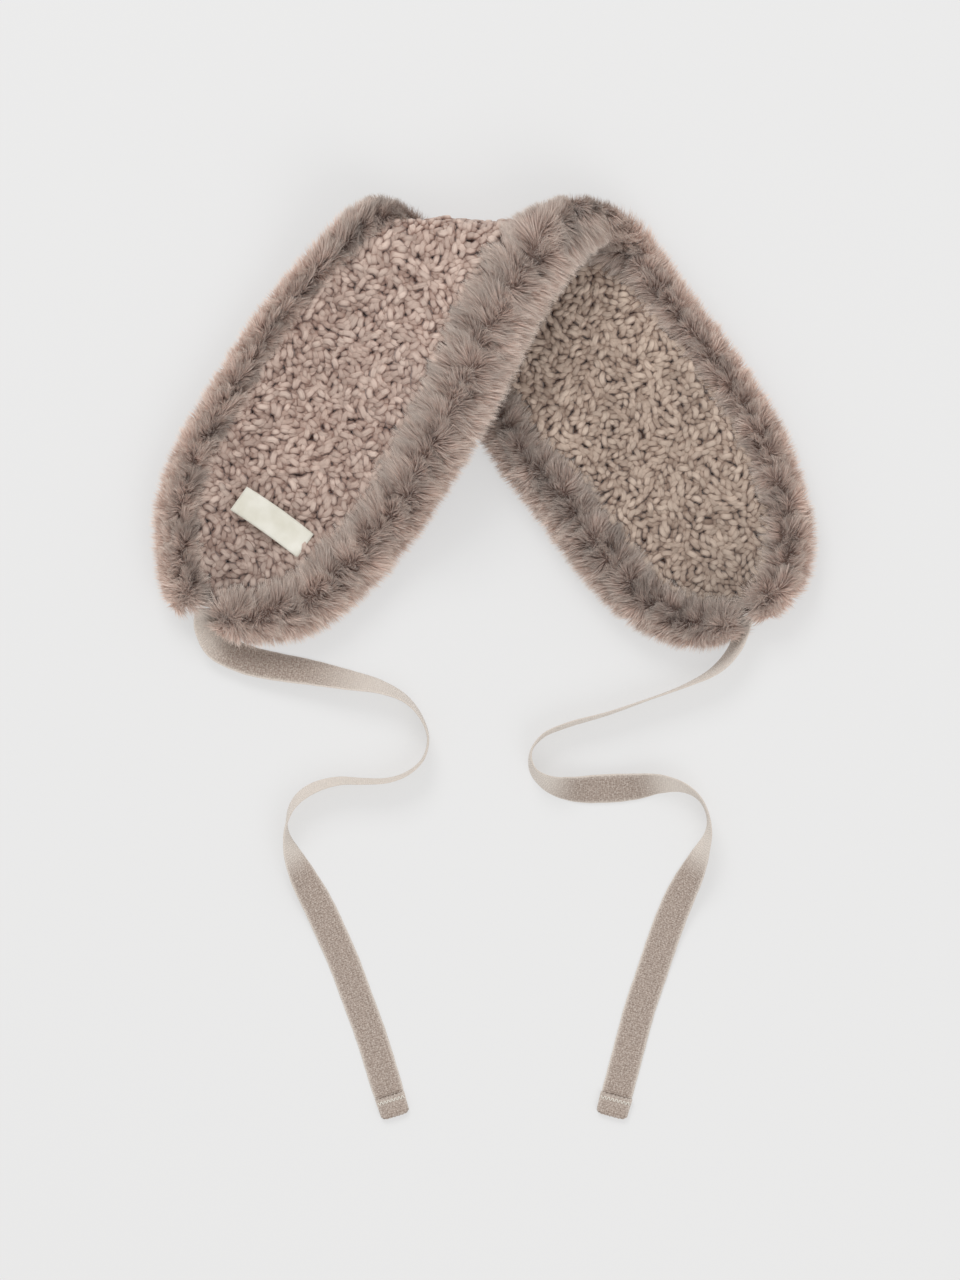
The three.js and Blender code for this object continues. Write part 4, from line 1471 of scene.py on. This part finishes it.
@dataclass
class TapeTie:
    """A flat knitted tape that lies in loose curves, with a turned-over and stitched end.

    Its route is a list of places across and up in millimetres, the tape's roll in degrees, and
    how far its lowest edge is above the surface in millimetres. A wave is a size, a rate and a
    start.
    """

    name: str
    route: tuple[tuple[float, float, float, float], ...]
    tape: bpy.types.Material
    thread: bpy.types.Material
    width: float = 0.015
    thickness: float = 0.0011
    hem_width: float = 0.0160
    hem_length: float = 0.0105
    hem_gap: float = 0.0003
    narrowing_run: float = 0.016
    edge_waves: tuple[Point, ...] = ((0.005, 900.0, 0.0), (0.005, 523.0, 1.0))
    fray_waves: tuple[Point, ...] = ((0.00035, 23.0, 0.0), (0.00025, 41.0, 2.0))
    thread_radius: float = 0.00028
    stitches: int = 15
    stitch_depth: float = 0.0021
    steps: int = 330
    sides: int = 18
    roll_window: int = 13

    def middle(self, sine: Array, cosine: Array) -> Array:
        """Returns the height of a rolled tape's middle when its lowest edge is on the surface."""
        return (self.width * np.abs(sine) + self.thickness * np.abs(cosine)) / 2

    def frames(self) -> tuple[Array, Array, Array, Array, float]:
        """Frames of the tape along its route, its roll going evenly from point to point.

        Returns:
            Centres, width directions, face directions, directions of travel and the length.
        """
        table = np.array(self.route)
        angle = np.radians(table[:, 2])
        high = self.middle(np.sin(angle), np.cos(angle)) + table[:, 3] * MM
        line = SmoothLine(np.column_stack([table[:, 0] * MM, table[:, 1] * MM, high]))
        share = line.share_at(np.linspace(0.0, line.length, self.steps + 1))
        centre, slope = line.at(share)
        travel = unit(slope)
        roll = np.radians(np.interp(share * (len(table) - 1), np.arange(len(table)), table[:, 2]))
        window = np.full(self.roll_window, 1 / self.roll_window)
        roll = np.convolve(np.pad(roll, self.roll_window // 2, mode="edge"), window, "valid")
        left = unit(np.column_stack([-travel[:, 1], travel[:, 0], 0 * travel[:, 0]]))
        up = np.cross(travel, left)
        c, s = np.cos(roll)[:, None], np.sin(roll)[:, None]
        face = up * c + left * s
        across = left * c - up * s
        centre[:, 2] = np.maximum(centre[:, 2], self.middle(across[:, 2], face[:, 2]))
        return centre, across, face, travel, line.length

    def end_frame(self) -> tuple[Array, Array, Array]:
        """Returns the tape's end, its width direction and its direction of travel there."""
        centre, across, _, travel, _ = self.frames()
        return centre[-1], across[-1], travel[-1]

    def ribbon(self) -> tuple[bpy.types.Object, Array, float]:
        """The tape: a flat section with rounded edges, which narrows a little at the hem.

        Returns:
            The tape, its centre line and its length.
        """
        centre, across, face, _, length = self.frames()
        turn = np.linspace(0.0, 2 * math.pi, self.sides + 1)[:-1]
        w = np.sign(np.cos(turn)) * np.abs(np.cos(turn)) ** 0.55
        h = np.sign(np.sin(turn)) * np.abs(np.sin(turn)) ** 0.6
        run = np.linspace(0.0, length, self.steps + 1)
        edge = 1.0 + sum(size * np.sin(run * rate + start) for size, rate, start in self.edge_waves)
        near_hem = smooth(1.0 - (length - run) / self.narrowing_run)
        edge = edge * (1.0 - (1.0 - 0.96 * self.hem_width / self.width) * near_hem)
        wide = np.outer(edge, w) * self.width / 2
        tall = np.broadcast_to(h * self.thickness / 2, wide.shape)
        points = centre[:, None] + across[:, None] * wide[..., None] + face[:, None] * tall[..., None]
        points[..., 2] = np.maximum(points[..., 2], 0.0)
        flat_across = np.tile(w * self.width / 2 + 0.02 * (h > 0), len(run))
        uv = np.stack([np.repeat(run, self.sides), flat_across], axis=1)
        piece = new_tube(self.name + "_tape", points, uv)
        # Painted light: paler where the tape stands on edge and near its root, where the lobes would
        # shade it; also paler along both edges.
        stand = 0.75 * smooth((np.abs(across[:, 2]) - 0.5) / 0.45)
        stand = np.maximum(stand, 0.6 * smooth(1.7 - run / 0.018))
        rim = 0.75 * smooth((np.abs(w) - 0.8) / 0.2)
        pale_edges_and_painted_light = np.maximum(stand[:, None], rim[None, :]).ravel()
        note(piece, "pale_edges_and_painted_light", np.concatenate([pale_edges_and_painted_light, [0.6, 0.6]]))
        return piece, centre, length

    def hem_profile(self) -> Array:
        """Returns the hem's section: places along the tape from its end, and heights."""
        step = self.thickness + self.hem_gap
        top = step + self.thickness
        start = step - self.hem_length
        turn = np.linspace(-math.pi / 2, math.pi / 2, 9)
        bulge = self.thickness * 0.9
        nose = [(self.hem_gap + bulge * math.cos(a), top / 2 + top / 2 * math.sin(a)) for a in turn]
        lip = np.linspace(self.hem_gap, start, 9)[1:]
        upper = [(a, top) for a in lip]
        back = [(start, top - 0.0004), (start, step)]
        lower = [(a, step) for a in lip[::-1][1:]]
        inner = [(self.hem_gap * 0.6, step), (self.hem_gap * 0.6, 0.0002)]
        return np.array(nose + upper + back + lower + inner)

    def hem(self) -> bpy.types.Object:
        """The turned-over end: a profile that wraps the tape's cut end, carried across its width.

        The upper layer's edge frays in a small wave, and the outer corners are rounded.

        Returns:
            The hem.
        """
        end, side, ahead = self.end_frame()
        along, high = self.hem_profile().T
        share = np.linspace(-1.0, 1.0, 25)[:, None]
        fray = np.clip(-along / self.hem_length, 0, 1) ** 2
        wave = sum(size * np.sin(share * rate + start) for size, rate, start in self.fray_waves)
        length = along - fray * (wave + 0.0006 * np.abs(share) ** 4)
        nosed = np.clip(1.0 + along / 0.004, 0.0, 1.0)
        length = length - nosed * (0.0017 * np.abs(share) ** 7 + 0.4 * wave)
        wide = share * (self.hem_width / 2 + 0.0004 * fray)
        raised = high > (self.thickness + self.hem_gap) * 0.9
        level = high * (1.0 - 0.18 * np.abs(share) ** 6) + 0.00025 * (1 - share**2) * raised
        points = end + ahead * length[..., None] + side * wide[..., None]
        points[..., 2] = level
        rows, columns = level.shape
        body = split_quads(grid_faces(rows, columns, closed=True))
        cap = rungs(columns)
        faces = np.concatenate([body, cap[:, ::-1], cap + (rows - 1) * columns])[:, ::-1]
        piece = new_mesh(self.name + "_hem_fold", points.reshape(-1, 3), faces)
        lay_uv(piece, np.stack([length.ravel() + 0.5, wide.ravel() + 0.03], axis=1))
        # Paler at the hem's outer corners and along its frayed edge.
        note(piece, "pale_edges_and_painted_light", 0.3 * np.abs(share) ** 8 + 0.3 * fray)
        return piece

    def seam(self) -> bpy.types.Object:
        """The zigzag of thread along the hem's upper edge: a short tube for each stitch.

        Returns:
            All the stitches as one mesh.
        """
        end, side, ahead = self.end_frame()
        step = self.thickness + self.hem_gap
        place = np.linspace(-0.94, 0.94, self.stitches + 1) * self.hem_width / 2
        near = step - self.hem_length + 0.0012
        row = np.where(np.arange(self.stitches + 1) % 2 == 0, near, near + self.stitch_depth)
        corner = np.stack([place, row], axis=1)
        u = np.linspace(0.0, 1.0, 6)[:, None]
        bow = np.sin(math.pi * u)
        line = corner[:-1, None] * (1 - u) + corner[1:, None] * u
        middle = end + side * line[..., :1] + ahead * line[..., 1:]
        middle[..., 2] = step + self.thickness + 0.00005 + 0.00032 * bow[:, 0]
        aim = unit(np.diff(corner, axis=0))
        flat = unit(np.cross(side * aim[:, :1] + ahead * aim[:, 1:], np.array([0.0, 0.0, 1.0])))
        v = np.linspace(0, 2 * math.pi, 7)[:-1]
        radius = self.thread_radius * (0.75 + 0.25 * bow)
        ring = middle[:, :, None] + flat[:, None, None] * (radius * np.cos(v))[..., None]
        ring[..., 2] += radius * np.sin(v)
        return new_tubes(self.name + "_stitches", ring)

    def build(self) -> None:
        piece, line, length = self.ribbon()
        dress(piece, self.tape, "tape", self.name)
        hem = self.hem()
        dress(hem, self.tape, "tape", self.name + "_hem")
        sewn = self.seam()
        dress(sewn, self.thread, "tape")
        log.info("%s is %.3f m long", self.name, length)


LEFT_TIE_ROUTE = (
    (-133.2, -90.5, 42, 4.6), (-133.9, -93.1, 42, 3.8), (-134.2, -97.9, 38, 2.4),
    (-132.4, -103, 30, 1), (-128.9, -108.3, 22, 0.2), (-122.6, -112, 18, 0),
    (-113, -115.7, 20, 0), (-99.6, -118.6, 26, 0), (-85.2, -121, 34, 0), (-66, -124.8, 50, 0),
    (-50.6, -128.2, 65, 0), (-38.6, -133.9, 78, 0), (-31, -142.6, 87, 0), (-27.6, -152.6, 90, 0),
    (-29.5, -161.8, 92, 0), (-34.3, -167.5, 94, 0), (-41, -171.4, 96, 0), (-48.7, -173.3, 98, 0),
    (-59.3, -173.5, 100, 0), (-69.8, -173.3, 104, 0), (-79.4, -175.4, 108, 0),
    (-87.1, -179.3, 110, 0), (-92.4, -184.8, 103, 0), (-95, -191, 95, 0), (-95.8, -197.8, 86, 0),
    (-93.8, -206.4, 62, 0), (-88.1, -218.9, 32, 0), (-80.4, -233.3, 10, 0), (-74.2, -246.7, 3, 0),
    (-67.9, -261.1, 0, 0), (-62.2, -276.5, 0, 0), (-55, -296.2, 0, 0), (-48.2, -318.2, 0, 0),
    (-43.4, -333.6, 0, 0),
)
RIGHT_TIE_ROUTE = (
    (123.9, -94.2, -52, 3.8), (123.6, -96.5, -55, 3), (122.6, -101.8, -60, 1.5),
    (120.7, -108, -67, 0.4), (115.4, -115.7, -69, 0), (108.7, -121.4, -76, 0),
    (100.1, -125.8, -84, 0), (91, -129.6, -88, 0), (79, -133.9, -91, 0), (58.3, -141.1, -95, 0),
    (39.6, -146.4, -99, 0), (27.6, -151.7, -96, 0), (21.8, -159.4, -90, 0), (22.8, -168, -80, 0),
    (30, -174.2, -60, 0), (41.5, -177.1, -36, 0), (55.9, -177.1, -20, 0), (70.3, -176.2, -28, 0),
    (83.8, -174.7, -52, 0), (95.3, -176.6, -74, 0), (103, -181.9, -86, 0), (106.8, -189.6, -90, 0),
    (107.3, -197.8, -82, 0), (104.4, -206.4, -62, 0), (100.1, -216, -38, 0), (94.3, -227.5, -18, 0),
    (89, -240, -8, 0), (84.2, -253.4, -3, 0), (79.4, -267.8, 0, 0), (74.2, -283.2, 0, 0),
    (70.3, -297.6, 0, 0), (66.5, -312, 0, 0), (60.7, -333.6, 0, 0),
)


# Label


@dataclass
class Label:
    """The small bare label: a ribbon that arches over the pile and sinks a little at its ends."""

    cloth: BoucleCloth
    material: bpy.types.Material
    length: float = 0.0395
    cut_length: float = 0.0424
    width: float = 0.014
    thickness: float = 0.0009
    angle: float = -35.5
    across: float = -0.645
    up: float = -0.443
    lift: float = 0.0033
    arch: float = 0.0013
    sink: float = 0.0004
    bow: float = 0.0006
    smoothing: float = 0.35

    def build(self) -> None:
        """Makes the ribbon: a thin closed wall on a grid along and across, over the pile."""
        band = self.cloth.band
        u, v = np.meshgrid(np.linspace(-1.0, 1.0, 33), np.linspace(-1.0, 1.0, 13), indexing="ij")
        turn = math.radians(self.angle)
        a = u * self.length / 2
        b = v * self.width / 2 * (1 - 0.015 * u**2) + self.bow * (1 - u**2)
        x = self.across * band.span / 2 + a * math.cos(turn) - b * math.sin(turn)
        run = self.up * band.depth / 2 + a * math.sin(turn) + b * math.cos(turn)
        inset = band.inset(x.ravel(), run.ravel())
        base = band.fold(x.ravel(), run.ravel(), self.cloth.top(inset), inset)[:, 2].reshape(x.shape)
        base = base.mean() * self.smoothing + base * (1 - self.smoothing)
        sunk = self.sink * smooth((np.abs(u) - 0.8) / 0.2)
        lift = self.lift + self.arch * (1 - np.abs(u) ** 2.2) - sunk
        wave = 0.0002 * waves(x, run, 0.02, 77, 2) + 0.00025 * np.abs(v) ** 6
        low = base + lift + wave
        high = low + self.thickness * (1 - 0.5 * np.abs(v) ** 10)
        ring = ringed(np.stack([x, run, low], axis=-1), np.stack([x, run, high], axis=-1))
        piece = new_mesh("label_ribbon", ring.reshape(-1, 3), slab_faces(*x.shape))
        flat = np.stack([a, b], axis=-1)
        lay_uv(piece, ringed(flat, flat).reshape(-1, 2))
        dress(piece, self.material, "label_ribbon", "label")


# Studio


@dataclass
class Studio:
    """The pale floor, soft light and the camera straight above."""

    frame_height: float = 0.6144
    middle: tuple[float, float] = (-0.00264, -0.1056)
    distance: float = 6.0
    subject_height: float = 0.015
    sensor: float = 36.0
    room_light: float = 0.66
    floor_glow: float = 0.50
    floor_half: float = 4.0
    floor_level: float = -0.0003

    def camera(self) -> None:
        """Makes the camera, which looks straight down with a long lens."""
        data = bpy.data.cameras.new("camera")
        data.sensor_width = self.sensor
        data.lens = self.sensor * (self.distance - self.subject_height) / self.frame_height
        data.clip_start, data.clip_end = 0.1, 50.0
        eye = bpy.data.objects.new("camera", data)
        eye.location = (*self.middle, self.distance)
        bpy.context.scene.collection.objects.link(eye)
        bpy.context.scene.camera = eye

    def lamp(self, name: str, place: Point, size: float, watts: float) -> None:
        """Makes a square soft light that faces the object."""
        data = bpy.data.lights.new(name, "AREA")
        data.size, data.energy = size, watts
        made = bpy.data.objects.new(name, data)
        made.location = place
        aim = np.array([*self.middle, 0.0]) - np.array(place)
        flat = math.hypot(aim[0], aim[1])
        made.rotation_euler = (math.atan2(flat, -aim[2]), 0.0, math.atan2(-aim[0], aim[1]))
        bpy.context.scene.collection.objects.link(made)

    def light(self) -> None:
        """Makes the room's even light and two soft lamps, the stronger one beyond the fold."""
        world = bpy.data.worlds.new("room")
        world.use_nodes = True
        back = world.node_tree.nodes["Background"]
        back.inputs["Color"].default_value = (1.0, 0.99, 0.98, 1.0)
        back.inputs["Strength"].default_value = self.room_light
        bpy.context.scene.world = world
        bpy.context.scene.view_settings.view_transform = "Standard"
        self.lamp("key_light", (-0.7, 2.1, 2.2), size=1.4, watts=38.0)
        self.lamp("fill_light", (1.0, -1.6, 2.2), size=1.8, watts=17.0)

    def floor(self) -> None:
        """Makes the plain pale floor, which glows a little so that shadows on it stay soft."""
        corners = self.floor_half * np.array([(-1, -1), (1, -1), (1, 1), (-1, 1)])
        points = np.column_stack([corners, np.full(len(corners), self.floor_level)])
        made = new_mesh("floor", points, np.array([[0, 1, 2, 3]]))
        paint = Paint("floor", roughness=0.9)
        paint.colour(linear(150, 150, 150))
        paint.shader.inputs["Emission Color"].default_value = (1.0, 1.0, 1.0, 1.0)
        paint.shader.inputs["Emission Strength"].default_value = self.floor_glow
        made.data.materials.append(paint.material)


def build_ties() -> None:
    """Builds both ties in melange tape with pale thread."""
    tape = TapeFinish(
        "melange_tape", dark=linear(134, 117, 106), body=linear(172, 156, 145),
        pale=linear(212, 201, 191), pale_edges_and_light=linear(240, 231, 221),
    ).make()
    thread = ThreadFinish("hem_thread", linear(234, 228, 218)).make()
    TapeTie("left_tie", LEFT_TIE_ROUTE, tape, thread, hem_width=0.0140).build()
    TapeTie("right_tie", RIGHT_TIE_ROUTE, tape, thread, hem_width=0.0152).build()


def build_cloths(band: FoldedBand) -> BoucleCloth:
    """Builds both cloths of the band and returns the outer one."""
    coarse = BoucleFinish(
        "outer_boucle", crevice_shade=linear(44, 23, 18), flank_shade=linear(103, 72, 62),
        body=linear(160, 132, 120), crown_highlight=linear(226, 205, 192),
    ).make()
    fine = BoucleFinish(
        "lining_boucle", crevice_shade=linear(42, 25, 19), flank_shade=linear(98, 73, 62),
        body=linear(150, 128, 114), crown_highlight=linear(216, 197, 181),
    ).make()
    outer = BoucleCloth(band, Face.OUTER, coarse)
    outer.build(shown=2300, hidden=350)
    lining = BoucleCloth(band, Face.LINING, fine, curl_length=0.0073, curl_radius=0.0018)
    lining.build(shown=2600, hidden=350)
    return outer


def build_fur(band: FoldedBand) -> None:
    """Builds both fur trims."""
    hair = FurFinish(
        "fur_hair", root=linear(152, 124, 113), middle=linear(195, 171, 159),
        tip=linear(214, 204, 195),
    ).make()
    pelt = PeltFinish("fur_pelt", low=linear(134, 112, 103), high=linear(172, 149, 138)).make()
    FurTrim(band, Edge.UPPER, hair, pelt).build(150000)
    lower = FurTrim(band, Edge.LOWER, hair, pelt, parting=(2.85, 2.0), fringe=(0.0034, 0.0062))
    lower.build(124000)


def main() -> None:
    """Builds the ear warmer piece by piece and logs each one."""
    logging.basicConfig(level=logging.INFO, format="%(message)s")
    studio = Studio()
    studio.camera()
    build_ties()
    band = FoldedBand()
    outer = build_cloths(band)
    build_fur(band)
    ribbon = RibbonFinish("label_ribbon", linear(218, 215, 200), linear(236, 234, 224)).make()
    Label(outer, ribbon).build()
    studio.light()
    studio.floor()
    bpy.context.view_layer.update()


if __name__ == "__main__":
    main()
